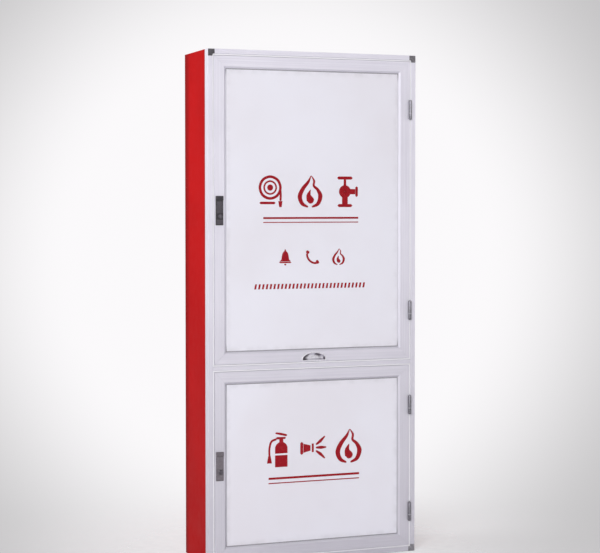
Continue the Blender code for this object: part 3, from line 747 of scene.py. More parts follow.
@dataclass
class Shape:
    """Closed shells worked out as whole arrays, gathered until they make one mesh."""

    points: list[np.ndarray] = field(default_factory=list)
    quads: list[np.ndarray] = field(default_factory=list)
    caps: list[np.ndarray] = field(default_factory=list)
    count: int = 0

    def loft(self, rings: np.ndarray, wrap: bool = False) -> Shape:
        """Adds the closed skin through a stack of rings, capped at both ends or joined into a loop.

        Its quads lie between neighbours of the grid, which is closed across its columns. The skin is
        turned inside out where its signed volume, a sixth of the sum over its triangles of
        a . (b x c), comes out negative, so that its faces always point outwards.

        Args:
            rings: points by ring, then by place in the ring, then x, y and z.
            wrap: whether the last ring joins the first.

        Returns:
            This shape.
        """
        rows, columns = rings.shape[:2]
        points = rings.reshape(-1, 3)
        row, column = np.arange(rows if wrap else rows - 1)[:, None], np.arange(columns)[None, :]
        here, there = row * columns, (row + 1) % rows * columns
        beside = (column + 1) % columns
        corners = (here + column, here + beside, there + beside, there + column)
        quads = np.stack(np.broadcast_arrays(*corners), axis=-1).reshape(-1, 4)
        caps = [] if wrap else [np.arange(columns)[::-1], np.arange(columns) + (rows - 1) * columns]
        fans = [np.stack([np.full(columns - 2, cap[0]), cap[1:-1], cap[2:]], axis=-1) for cap in caps]
        triangles = np.concatenate([quads[:, [0, 1, 2]], quads[:, [0, 2, 3]], *fans])
        a, b, c = (points[triangles[:, k]] - points.mean(axis=0) for k in range(3))
        if np.einsum("ij,ij->", a, np.cross(b, c)) < 0:
            quads = quads[:, ::-1]
            caps = [cap[::-1] for cap in caps]
        self.points.append(points)
        self.quads.append(quads + self.count)
        self.caps += [cap + self.count for cap in caps]
        self.count += len(points)
        return self

    def stacked(self, seat: Seat, steps: Iterable[Any], wrap: bool = False) -> Shape:
        """Adds the skin through flat rings, given as (ring, proud) steps over a seat."""
        return self.loft(np.stack([seat.place(ring, proud) for ring, proud in steps]), wrap)

    def slab(self, seat: Seat, outline: np.ndarray, profile: Iterable[Any]) -> Shape:
        """Adds a solid: its outline, drawn in and raised by each (inset, proud) step of a profile."""
        return self.stacked(seat, [(drawn_in(outline, inset), proud) for inset, proud in profile])

    def turned(self, seat: Seat, profile: Iterable[Any], wrap: bool = False) -> Shape:
        """Adds a solid of revolution: (r cos t, r sin t, proud) for each (r, proud) step of a profile."""
        return self.stacked(seat, [(circle(radius), proud) for radius, proud in profile], wrap)

    def piece(self, name: str, material: Material, smooth_angle: float = 35.0) -> bpy.types.Object:
        """Makes the object.

        Args:
            name: the piece's name.
            material: what it is made of.
            smooth_angle: edges sharper than this many degrees stay sharp.

        Returns:
            The object, at the origin with its place in its mesh.
        """
        mesh = bpy.data.meshes.new(name)
        faces = np.concatenate(self.quads).tolist() + [cap.tolist() for cap in self.caps]
        mesh.from_pydata(np.concatenate(self.points).tolist(), [], faces)
        mesh.shade_smooth()
        mesh.set_sharp_from_angle(angle=math.radians(smooth_angle))
        mesh.materials.append(material)
        made = bpy.data.objects.new(name, mesh)
        bpy.context.scene.collection.objects.link(made)
        return made


@dataclass(frozen=True)
class CrossScrew:
    """A countersunk screw head with a cross recess.

    The skins of its head and of its recess are (share of their outline, proud) steps, and the arms of the
    cross are shares of the head's radius. The slots stand turned by a small angle.
    """

    radius: float = 0.0026
    head: tuple[Flat, ...] = ((0.6, -0.0009), (1.0, 0.00002), (0.93, 0.00018), (0.78, 0.00028))
    recess: tuple[Flat, ...] = ((1.0, 0.00030), (0.9, -0.0005))
    arm: float = 0.62
    half_slot: float = 0.13
    steps: int = 32
    start: float = 0.2

    def add_to(self, shape: Shape, seat: Seat, at: Flat) -> None:
        """Adds the head.

        Args:
            shape: what it is added to.
            seat: the face that the head is sunk in.
            at: the screw's place on that face.
        """
        angles = np.linspace(0, 2 * np.pi, self.steps, endpoint=False) + self.start
        arm, half = self.radius * self.arm, self.radius * self.half_slot
        quarter = np.array([(arm, -half), (arm, half), (half, half)])
        turns = (((1, 0), (0, 1)), ((0, 1), (-1, 0)), ((-1, 0), (0, -1)), ((0, -1), (1, 0)))
        plus = np.concatenate([quarter @ np.array(turn, dtype=float) for turn in turns])
        cross = seen_from(plus, (0.0, 0.0), angles)
        disc = rays(angles) * self.radius
        rings = [(disc * share, proud) for share, proud in self.head]
        rings += [(cross * share, proud) for share, proud in self.recess]
        shape.stacked(seat, [(ring + np.array(at), proud) for ring, proud in rings])


def smooth_path(points: Any, samples: int, closed: bool = False) -> np.ndarray:
    """A Catmull-Rom curve through points.

    On each span it is half of 2 p1 + (p2 - p0) t + (2 p0 - 5 p1 + 4 p2 - p3) t^2
    + (3 p1 - p0 - 3 p2 + p3) t^3.

    Args:
        points: the points that it passes through.
        samples: how many points each span is given.
        closed: whether it joins up.

    Returns:
        The curve's points.
    """
    knots = np.array(points, dtype=float)
    if closed:
        knots = np.concatenate([knots[-1:], knots, knots[:2]])
    else:
        knots = np.concatenate([2 * knots[:1] - knots[1:2], knots, 2 * knots[-1:] - knots[-2:-1]])
    p0, p1, p2, p3 = (knots[k : len(knots) - 3 + k, None] for k in range(4))
    t = np.linspace(0, 1, samples, endpoint=False)[None, :, None]
    curve = 2 * p1 + (p2 - p0) * t + (2 * p0 - 5 * p1 + 4 * p2 - p3) * t**2
    curve = (curve + (3 * p1 - p0 - 3 * p2 + p3) * t**3) / 2
    curve = curve.reshape(-1, 2)
    return curve if closed else np.concatenate([curve, knots[-2:-1]])


@dataclass(frozen=True)
class Stroke:
    """One stroke of a sign, in the sign's own heights: a path, its widths along it, and its ends."""

    path: Any
    widths: tuple[float, ...]
    closed: bool = False
    round_ends: bool = True
    samples: int = 12
    thinnest: float = 0.002

    def add_to(self, shape: Shape, seat: Seat, height: float, bite: float, film: float) -> None:
        """Adds the stroke as a thin film of ink.

        The band's two edges lie half a width either side of the path, along its normals. Near an open end
        the half width w shrinks as the square root of w^2 - (w - s)^2, where s is the way to that end.

        Args:
            shape: what it is added to.
            seat: the sign's middle, on the surface that it is printed on.
            height: the sign's height in metres.
            bite: how far the stroke reaches into the surface, so that no two faces lie together.
            film: how thick the ink is.
        """
        path = smooth_path(self.path, self.samples, self.closed) * height
        ahead = np.roll(path, -1, axis=0) - path
        behind = path - np.roll(path, 1, axis=0)
        if not self.closed:
            ahead[-1], behind[0] = behind[-1], ahead[0]
        run = ahead + behind
        run /= np.linalg.norm(run, axis=1, keepdims=True)
        normal = np.stack([-run[:, 1], run[:, 0]], axis=-1)
        share = np.linspace(0, 1, len(path))
        half = np.interp(share, np.linspace(0, 1, len(self.widths)), self.widths)[:, None] * height / 2
        if self.round_ends and not self.closed:
            steps = np.linalg.norm(ahead[:-1], axis=1)
            way = np.concatenate([[0.0], np.cumsum(steps)])[:, None]
            short = np.clip(half - np.minimum(way, way[-1] - way), 0.0, half)
            half = np.maximum(np.sqrt(half**2 - short**2), height * self.thinnest)
        left, right = path + normal * half, path - normal * half
        sides = ((left, -bite), (right, -bite), (right, film), (left, film))
        rings = [seat.place(side, proud) for side, proud in sides]
        shape.loft(np.stack(rings, axis=1), wrap=self.closed)


SIGNS: dict[Sign, tuple[Stroke, ...]] = {
    Sign.FLAME: (
        Stroke(
            ((0.04, 0.50), (-0.06, 0.30), (-0.24, 0.08), (-0.34, -0.16), (-0.26, -0.38), (-0.06, -0.49)),
            (0.02, 0.09, 0.13, 0.15, 0.12, 0.05),
        ),
        Stroke(
            (
                (0.04, 0.50), (0.14, 0.34), (0.13, 0.18), (0.26, 0.06),
                (0.35, -0.14), (0.27, -0.38), (0.06, -0.49),
            ),
            (0.02, 0.07, 0.07, 0.10, 0.15, 0.12, 0.05),
        ),
        Stroke(((0.02, 0.06), (-0.04, -0.12), (0.01, -0.28), (0.0, -0.38)), (0.02, 0.15, 0.27, 0.16)),
    ),
    Sign.HOSE_REEL: (
        Stroke(circle(0.34, 8, (-0.04, 0.12)), (0.085,), closed=True, samples=8),
        Stroke(circle(0.20, 8, (-0.04, 0.12)), (0.055,), closed=True, samples=6),
        Stroke(circle(0.05, 8, (-0.04, 0.12)), (0.096,), closed=True, samples=4),
        Stroke(((0.29, 0.10), (0.31, -0.10), (0.30, -0.30)), (0.07, 0.07, 0.07)),
        Stroke(((0.30, -0.30), (0.30, -0.49)), (0.14, 0.08), round_ends=False),
        Stroke(((-0.40, -0.36), (0.14, -0.36)), (0.08, 0.08)),
    ),
    Sign.VALVE: (
        Stroke(((-0.27, 0.44), (0.27, 0.44)), (0.10, 0.10)),
        Stroke(((0.0, 0.40), (0.0, 0.14)), (0.08, 0.10), round_ends=False),
        Stroke(circle(0.105, 8), (0.205,), closed=True, samples=6),
        Stroke(((0.0, -0.14), (0.0, -0.42)), (0.20, 0.20), round_ends=False),
        Stroke(((-0.26, -0.45), (0.26, -0.45)), (0.10, 0.10)),
        Stroke(((0.16, 0.0), (0.36, 0.0)), (0.17, 0.17), round_ends=False),
        Stroke(((0.41, 0.17), (0.41, -0.17)), (0.09, 0.09)),
    ),
    Sign.EXTINGUISHER: (
        Stroke(((0.06, -0.50), (0.06, -0.16)), (0.38, 0.38), round_ends=False),
        Stroke(
            ((0.06, -0.11), (0.06, 0.06), (0.06, 0.15), (0.06, 0.22)),
            (0.38, 0.38, 0.30, 0.12),
            round_ends=False,
        ),
        Stroke(((0.06, 0.18), (0.06, 0.34)), (0.12, 0.12), round_ends=False),
        Stroke(((-0.10, 0.33), (0.20, 0.33)), (0.07, 0.06)),
        Stroke(((-0.12, 0.48), (0.04, 0.45), (0.24, 0.40)), (0.05, 0.07, 0.06)),
        Stroke(((-0.08, 0.31), (-0.24, 0.24), (-0.30, 0.04), (-0.30, -0.18)), (0.06, 0.06, 0.06, 0.06)),
        Stroke(((-0.30, -0.16), (-0.30, -0.38)), (0.07, 0.15), round_ends=False),
    ),
    Sign.SPRAY: (
        Stroke(((-0.42, 0.0), (-0.14, 0.0)), (0.34, 0.20), round_ends=False),
        Stroke(((-0.49, 0.24), (-0.49, -0.24)), (0.12, 0.12)),
        Stroke(((-0.09, 0.0), (-0.01, 0.0)), (0.32, 0.32), round_ends=False),
        Stroke(((0.07, 0.0), (0.28, 0.0), (0.50, 0.0)), (0.06, 0.12, 0.05)),
        Stroke(((0.07, 0.11), (0.25, 0.24), (0.44, 0.42)), (0.06, 0.12, 0.05)),
        Stroke(((0.07, -0.11), (0.25, -0.24), (0.44, -0.42)), (0.06, 0.12, 0.05)),
    ),
    Sign.BELL: (
        Stroke(
            ((0.0, 0.42), (0.0, 0.20), (0.0, -0.08), (0.0, -0.26)),
            (0.10, 0.36, 0.46, 0.52, 0.74),
            round_ends=False,
        ),
        Stroke(((-0.42, -0.32), (0.42, -0.32)), (0.09, 0.09)),
        Stroke(((-0.07, -0.45), (0.07, -0.45)), (0.11, 0.11)),
        Stroke(((0.0, 0.50), (0.0, 0.40)), (0.09, 0.09)),
    ),
    Sign.HANDSET: (
        Stroke(
            ((-0.34, 0.24), (-0.30, -0.02), (-0.12, -0.26), (0.14, -0.38), (0.38, -0.36)),
            (0.14, 0.13, 0.13, 0.13, 0.14),
        ),
        Stroke(((-0.40, 0.36), (-0.18, 0.26)), (0.20, 0.17)),
        Stroke(((0.30, -0.20), (0.44, -0.42)), (0.17, 0.20)),
    ),
}


def attach(piece: bpy.types.Object, body: Body, slot: str, *replaced: str) -> None:
    """Hangs a finished piece on its body and hides the CAD nodes that it stands for.

    Args:
        piece: the piece, at rest.
        body: the body that it rides on.
        slot: not used.
        *replaced: the CAD nodes that it is shown instead of.
    """
    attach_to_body(piece, body.value)
    if replaced:
        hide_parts(*replaced)
    LOG.info("%s: %d faces on %s", piece.name, len(piece.data.polygons), body.value)


def dress(material: Material, *nodes: str) -> None:
    """Gives CAD nodes that keep their shapes their better material.

    Args:
        material: the material.
        *nodes: the nodes.
    """
    for node in nodes:
        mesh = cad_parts[node].data
        mesh.materials.clear()
        mesh.materials.append(material)
        LOG.info("%s keeps its shape, in %s", node, material.name)


# The studio


@dataclass
class Studio:
    """Plain soft light, a pale floor that fades out, and the photograph's camera.

    The lamps are squares: a name, a place, a size and a power each. The backdrop's tone is one smooth step
    of the angle from its bright spot, and a second one towards the far side.
    """

    camera_at: Triple = (-1.864, -4.8555, 1.124)
    tilt: float = 88.07
    pan: float = -20.96
    lens: float = 97.14
    sensor: float = 36.0
    rise: float = -0.030
    frame_size: tuple[int, int] = (600, 553)
    bright_at: Flat = (278.0, 255.0)
    glow: float = 0.45
    sees_to: float = 60.0
    bright_spot: Ramp = (0.125, 0.262, 0.965, 0.560)
    far_side: Ramp = (0.60, 1.80, 0.0, 0.20)
    floor_half: float = 9.0
    floor_z: float = -0.0002
    floor_fades: Ramp = (0.3, 1.25, 0.40, 0.0)
    chalk: tuple[Triple, Triple] = ((0.70, 0.69, 0.71), (0.74, 0.73, 0.75))
    lamps: tuple[tuple[str, Triple, float, float], ...] = (
        ("front_lamp", (-3.4, -5.4, 2.6), 3.2, 245.0),
        ("left_lamp", (-3.7, 0.9, 3.6), 2.0, 95.0),
        ("right_lamp", (4.4, 1.2, 2.6), 2.4, 70.0),
        ("back_lamp", (1.0, 4.8, 3.0), 3.0, 90.0),
    )

    def bearing(self) -> Euler:
        """The way that the camera faces."""
        return Euler((math.radians(self.tilt), 0.0, math.radians(self.pan)))

    def place_camera(self) -> None:
        """Makes the camera and the scene's view transform."""
        eye = bpy.data.objects.new("studio_camera", bpy.data.cameras.new("studio_camera"))
        eye.location = self.camera_at
        eye.rotation_euler = self.bearing()
        eye.data.sensor_fit = "HORIZONTAL"
        eye.data.sensor_width = self.sensor
        eye.data.lens = self.lens
        eye.data.shift_y = self.rise
        eye.data.clip_end = self.sees_to
        scene = bpy.context.scene
        scene.collection.objects.link(eye)
        scene.camera = eye
        scene.view_settings.view_transform = "Standard"

    def bright_way(self) -> Vector:
        """Works out where the backdrop is brightest, from that spot's pixel and the lens.

        Returns:
            The direction.
        """
        wide, tall = self.frame_size
        focal = self.lens / self.sensor * wide
        right = (self.bright_at[0] - wide / 2) / focal
        up = (tall / 2 - self.bright_at[1] + self.rise * wide) / focal
        return (self.bearing().to_matrix() @ Vector((right, up, -1.0))).normalized()

    def light_world(self) -> None:
        """Lights the object evenly, and shows the camera and glossy rays a soft vignette."""
        world = bpy.data.worlds.new("soft_studio")
        world.use_nodes = True
        bpy.context.scene.world = world
        graph = Graph(world.node_tree)
        way = graph.add("ShaderNodeTexCoord", {}, {}).outputs["Generated"]
        unit = graph.add("ShaderNodeVectorMath", {"operation": "NORMALIZE"}, {0: way}).outputs[0]
        aim = {0: unit, 1: self.bright_way()}
        facing = graph.add("ShaderNodeVectorMath", {"operation": "DOT_PRODUCT"}, aim).outputs["Value"]
        angle = graph.math("ARCCOSINE", facing)
        tone = angle.ramp(*self.bright_spot) + angle.ramp(*self.far_side)
        path = graph.add("ShaderNodeLightPath", {}, {}).outputs
        seen = graph.math("MAXIMUM", path["Is Camera Ray"], path["Is Glossy Ray"])
        seen = graph.math("MAXIMUM", seen, path["Is Transmission Ray"])
        plain = {"Color": (1.0, 1.0, 1.0, 1.0), "Strength": self.glow}
        shown = {"Color": (1.0, 0.985, 1.0, 1.0), "Strength": tone}
        light = graph.add("ShaderNodeBackground", {}, plain).outputs[0]
        backdrop = graph.add("ShaderNodeBackground", {}, shown).outputs[0]
        both = graph.add("ShaderNodeMixShader", {}, {0: seen, 1: light, 2: backdrop}).outputs[0]
        graph.add("ShaderNodeOutputWorld", {}, {"Surface": both})

    def hang_lamps(self) -> None:
        """Hangs soft lamps that face the cabinet's middle."""
        for name, at, size, watts in self.lamps:
            data = bpy.data.lights.new(name, "AREA")
            data.size = size
            data.energy = watts
            lamp = bpy.data.objects.new(name, data)
            lamp.location = at
            away = Vector(at) - (CAD_BOX[0] + CAD_BOX[1]) / 2
            lamp.rotation_euler = away.to_track_quat("Z", "Y").to_euler()
            bpy.context.scene.collection.objects.link(lamp)

    def lay_floor(self) -> None:
        """Lays the floor. The camera sees through most of it, and through all of it further out."""
        half, z = self.floor_half, self.floor_z
        corners = [(-half, -half, z), (half, -half, z), (half, half, z), (-half, half, z)]
        mesh = bpy.data.meshes.new("studio_floor")
        mesh.from_pydata(corners, [], [(0, 1, 2, 3)])
        floor = bpy.data.objects.new("studio_floor", mesh)
        bpy.context.scene.collection.objects.link(floor)
        made, graph = new_material("pale_floor")
        x, y, _ = graph.axes()
        far = graph.math("SQRT", x * x + y * y)
        camera = Value(graph, graph.add("ShaderNodeLightPath", {}, {}).outputs["Is Camera Ray"])
        hidden = camera * (1.0 - far.ramp(*self.floor_fades))
        speckle = graph.noise(25.0, 4.0).ramp(0.35, 0.65)
        paint = {"Color": graph.mix(speckle, *self.chalk), "Roughness": 1.0}
        chalk = graph.add("ShaderNodeBsdfDiffuse", {}, paint).outputs[0]
        clear = graph.add("ShaderNodeBsdfTransparent", {}, {}).outputs[0]
        both = graph.add("ShaderNodeMixShader", {}, {0: hidden, 1: chalk, 2: clear}).outputs[0]
        graph.add("ShaderNodeOutputMaterial", {}, {"Surface": both})
        mesh.materials.append(made)

    def build(self) -> None:
        """Sets up everything that isn't part of the cabinet."""
        self.place_camera()
        self.light_world()
        self.hang_lamps()
        self.lay_floor()
        LOG.info("studio ready")


# The cabinet


@dataclass
class SteelBox:
    """The folded steel box and its shelf, which keep their CAD shapes."""

    sides: tuple[str, ...] = ("left_side", "right_side", "top", "bottom", "back")

    def build(self) -> None:
        """Paints the sheets."""
        dress(RedPaint().material(), *(f"{side}_panel" for side in self.sides), "middle_shelf")


@dataclass
class OuterFrame:
    """The aluminium frame round both doors, with its moulded corner connectors.

    A connector is an L that shows and the plug's L inside the two tubes. The four are one plastic, each
    with its own colour and worn colour: their tones differ as painted light and shade, darkest at the top
    left and lightest at the bottom right.
    """

    leg: float = 0.022
    margin: float = 0.0014
    band: float = 0.015
    fillet: float = 0.0040
    proud: float = 0.0006
    seat: float = 0.0025
    edge: float = 0.0004
    plug_leg: float = 0.045
    plug_low: float = 0.0019
    plug_high: float = 0.0131
    plug_front: float = 0.0017
    plug_back: float = 0.014
    plastics_with_painted_light: tuple[tuple[str, Triple, Triple], ...] = (
        # One plastic in four tones, as painted light and shade
        ("bottom_left", (0.125, 0.118, 0.132), (0.28, 0.27, 0.285)),
        ("top_left", (0.054, 0.050, 0.057), (0.125, 0.118, 0.130)),
        ("top_right", (0.125, 0.118, 0.132), (0.28, 0.27, 0.285)),
        ("bottom_right", (0.200, 0.190, 0.210), (0.40, 0.385, 0.41)),
    )

    def angle(self, leg: float, low: float, high: float, fillet: float, end: float) -> np.ndarray:
        """The outline of an L along two meeting bars."""
        along = [(low, low, self.edge), (leg, low, end), (leg, high, end)]
        return rounded([*along, (high, high, fillet), (high, leg, end), (low, leg, end)])

    def connector(self, name: str, material: Material) -> None:
        """Builds one corner's connector.

        Args:
            name: which corner it is, such as bottom_left.
            material: its plastic.
        """
        low, high = CAD_BOX
        x, right = (low.x, X_AXIS) if "left" in name else (high.x, -X_AXIS)
        z, up = (low.z, Z_AXIS) if "bottom" in name else (high.z, -Z_AXIS)
        seat = Seat(np.array([x, FRONT_Y, z]), right, up)
        face = self.angle(self.leg, self.margin, self.band, self.fillet, self.margin)
        plug = self.angle(self.plug_leg, self.plug_low, self.plug_high, self.margin, self.edge)
        shape = Shape().slab(seat, face, rounded_rim(-self.seat, self.proud, self.edge))
        shape.slab(seat, plug, ((0.0, -self.plug_back), (0.0, -self.plug_front)))
        piece = shape.piece(f"moulded_corner_{name}", material)
        attach(piece, Body.CABINET, "corner_plastic", f"corner_{name}")

    def build(self, finishes: dict[str, Material]) -> None:
        """Dresses the bars and builds the connectors.

        Args:
            finishes: the shared materials by name.
        """
        dress(finishes["upright"], "frame_left_stile", "frame_right_stile")
        dress(finishes["level"], "frame_top_rail", "frame_bottom_rail", "mullion")
        for name, colour, worn in self.plastics_with_painted_light:
            self.connector(name, MouldedPlastic(f"{name}_corner_moulding", colour, worn).material())


@dataclass
class DoorSeal:
    """One door's seal: a foam pad on the frame's stop, and a pale lip that fills the gap beside the door.

    The lip stands on the frame's inside face. It is left out where the hinge leaves lie in the gap.
    """

    name: str
    inset: float = 0.0010
    pad_width: float = 0.0090
    edge: float = 0.0005
    lip_back_off: float = 0.0001
    lip_low: float = 0.0003
    lip_high: float = 0.0046
    lip_front: float = 0.0014
    lip_round: float = 0.0010
    hinge_room: float = 0.0020

    @staticmethod
    def carried(path: np.ndarray, inward: np.ndarray, section: np.ndarray) -> np.ndarray:
        """Sets a section at each point of a path.

        A section point (a, d) comes to lie a times the inward vector from the path, and d behind the
        frame's front. At a mitre the inward vector has a share along both bars.

        Args:
            path: x and z of each point.
            inward: the inward vector at each point.
            section: a and d of each section point.

        Returns:
            A ring of points for each path point.
        """
        flat = path[:, None] + inward[:, None] * section[None, :, :1]
        depth = np.broadcast_to(FRONT_Y + section[None, :, 1:], (*flat.shape[:2], 1))
        return np.concatenate([flat[..., :1], depth, flat[..., 1:]], axis=-1)

    def hinge_zone(self, end: str) -> Flat:
        """Finds where a hinge's leaves lie in the gap.

        Args:
            end: which hinge it is, bottom or top.

        Returns:
            The zone's lower and upper end.
        """
        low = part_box(f"{self.name}_{end}_hinge_frame_half")[0].z
        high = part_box(f"{self.name}_{end}_hinge_door_half")[1].z
        return low - self.hinge_room, high + self.hinge_room

    def build(self, foam: Material) -> None:
        """Builds the seal.

        Args:
            foam: what it is made of.
        """
        node = f"{self.name}_seal"
        low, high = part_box(node)
        front, back = low.y - FRONT_Y, high.y - FRONT_Y
        left, right = low.x - self.inset, high.x + self.inset
        bottom, top = low.z - self.inset, high.z + self.inset
        corners = np.array([[left, bottom], [right, bottom], [right, top], [left, top]])
        mitres = np.array([[1.0, 1.0], [-1.0, 1.0], [-1.0, -1.0], [1.0, -1.0]])
        near, far, r = self.inset, self.inset + self.pad_width, self.edge
        pad = rounded([(near, front, r), (far, front, r), (far, back, r), (near, back, r)], 2)
        shape = Shape().loft(self.carried(corners, mitres, pad), wrap=True)

        near, far, nose = self.lip_low, self.lip_high, self.lip_round
        tip, root = self.lip_front, front - self.lip_back_off
        lip = rounded([(near, tip, nose), (far, tip, nose), (far, root, r), (near, root, r)], 4)
        lower, upper = self.hinge_zone("bottom"), self.hinge_zone("top")
        straight, order = np.array([[-1.0, 0.0]]), [2, 3, 0, 1]
        long_way = np.concatenate([[(right, upper[1])], corners[order], [(right, lower[0])]])
        turns = np.concatenate([straight, mitres[order], straight])
        shape.loft(self.carried(long_way, turns, lip))
        between = np.array([(right, lower[1]), (right, upper[0])])
        shape.loft(self.carried(between, turns[[0, 0]], lip))
        attach(shape.piece(f"{self.name}_door_seal", foam), Body.CABINET, "foam", node)


@dataclass
class LiftOffHinge:
    """One lift-off hinge: the frame half with its pin, and the door half whose knuckle drops over it.

    The frame leaf's screws are placed by their depth behind the frame's front, and the door leaf's by
    their share of its height.
    """

    name: str
    door: Body
    radius: float = 0.00525
    frame_knuckle: float = 0.019
    washer: float = 0.0010
    washer_radius: float = 0.0050
    pin_radius: float = 0.0025
    pin_length: float = 0.032
    bore_play: float = 0.0006
    chamfer: float = 0.0009
    leaf: float = 0.0012
    leaf_back: float = 0.018
    leaf_corner: float = 0.0025
    burr: float = 0.0003
    frame_screws: Flat = (0.0045, 0.0130)
    frame_screw: CrossScrew = CrossScrew()
    door_screws: Flat = (0.22, 0.78)
    door_screw_depth: float = 0.0095
    door_screw: CrossScrew = CrossScrew(0.0030)

    def axis(self) -> Seat:
        """Finds the pin's axis.

        Returns:
            A seat on it that faces up.
        """
        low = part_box(f"{self.name}_hinge_frame_half")[0]
        at = np.array([low.x + self.radius, low.y + self.radius, 0.0])
        return Seat(at, X_AXIS, Y_AXIS, Z_AXIS)

    def rounding(self, z: float, way: float) -> list[Flat]:
        """Rounds a knuckle's end.

        Args:
            z: how high the end is.
            way: 1 for an upper end, -1 for a lower one.

        Returns:
            The (radius, height) steps, towards the inside.
        """
        r, c = self.radius, self.chamfer
        shares = ((0.0, 1.0), (0.12, 0.45), (0.45, 0.12), (1.0, 0.0))
        return [(r - inward * c, z - way * along * c) for inward, along in shares]

    def leaf_plate(self, shape: Shape, seat: Seat, front: float, low: float, high: float) -> Seat:
        """Adds a leaf that lies on its seat, from its front depth to its back end.

        Args:
            shape: what it is added to.
            seat: the plane that it lies on.
            front: how far behind the frame's face it starts.
            low: its lower end.
            high: its upper end.

        Returns:
            The seat on its outer face.
        """
        back, corner, burr = self.leaf_back, self.leaf_corner, self.burr
        ends = [(front, low, burr), (back, low, corner), (back, high, corner), (front, high, burr)]
        shape.slab(seat, rounded(ends), rounded_rim(0.0, self.leaf, burr))
        return Seat(seat.origin + seat.out * self.leaf, seat.right, seat.up, seat.out)

    def frame_half(self, steel: Material) -> None:
        """Builds the half that is screwed to the frame.

        Args:
            steel: what it is made of.
        """
        node = f"{self.name}_hinge_frame_half"
        low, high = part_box(node)
        bottom, top = low.z, low.z + self.frame_knuckle
        pin, pin_top = self.pin_radius, top + self.pin_length
        profile = [
            *self.rounding(bottom, -1.0)[::-1],
            (self.radius, top - self.burr),
            (self.radius - self.burr, top),
            (pin, top),
            (pin, pin_top - self.chamfer),
            (pin - self.chamfer, pin_top),
        ]
        shape = Shape().turned(self.axis(), profile)
        side = Seat(np.array([high.x, FRONT_Y, 0.0]), Y_AXIS, Z_AXIS, -X_AXIS)
        start = bottom + self.chamfer
        face = self.leaf_plate(shape, side, self.axis().origin[1] - FRONT_Y, start, top)
        for depth in self.frame_screws:
            self.frame_screw.add_to(shape, face, (depth, (start + top) / 2))
        attach(shape.piece(f"{self.name}_pin_half", steel), Body.CABINET, "hinge_steel", node)

    def bearing_washer(self, nylon: Material) -> None:
        """Builds the pale ring round the pin that the two knuckles turn on.

        Args:
            nylon: what it is made of.
        """
        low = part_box(f"{self.name}_hinge_frame_half")[0].z + self.frame_knuckle
        high = low + self.washer
        inner, outer = self.pin_radius + FIT, self.washer_radius
        rim = [(outer - FIT, low), (outer, low + FIT), (outer, high - FIT), (outer - FIT, high)]
        shape = Shape().turned(self.axis(), [(inner, low), *rim, (inner, high)], wrap=True)
        attach(shape.piece(f"{self.name}_bearing_washer", nylon), Body.CABINET, "hinge_steel")

    def door_half(self, steel: Material) -> None:
        """Builds the half that is screwed to the door's edge, bored for the pin.

        Args:
            steel: what it is made of.
        """
        node = f"{self.name}_hinge_door_half"
        bottom, top = (corner.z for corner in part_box(node))
        bore = self.pin_radius + self.bore_play
        pin_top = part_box(f"{self.name}_hinge_frame_half")[1].z + self.bore_play
        profile = [
            (bore, pin_top),
            (bore, bottom + self.burr),
            (bore + self.burr, bottom),
            (self.radius - self.burr, bottom),
            (self.radius, bottom + self.burr),
            *self.rounding(top, 1.0),
        ]
        shape = Shape().turned(self.axis(), profile)
        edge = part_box(f"{self.door.value}_right_stile")[1].x + FIT
        side = Seat(np.array([edge, FRONT_Y, 0.0]), Y_AXIS, Z_AXIS, X_AXIS)
        front = self.axis().origin[1] - FRONT_Y + self.radius - self.leaf
        end = top - self.chamfer
        face = self.leaf_plate(shape, side, front, bottom, end)
        for share in self.door_screws:
            at = (self.door_screw_depth, bottom + share * (end - bottom))
            self.door_screw.add_to(shape, face, at)
        attach(shape.piece(f"{self.name}_sleeve_half", steel), self.door, "hinge_steel", node)

    def build(self, steel: Material, nylon: Material) -> None:
        """Builds the whole hinge.

        Args:
            steel: what both halves are made of.
            nylon: what the washer is made of.
        """
        self.frame_half(steel)
        self.door_half(steel)
        self.bearing_washer(nylon)


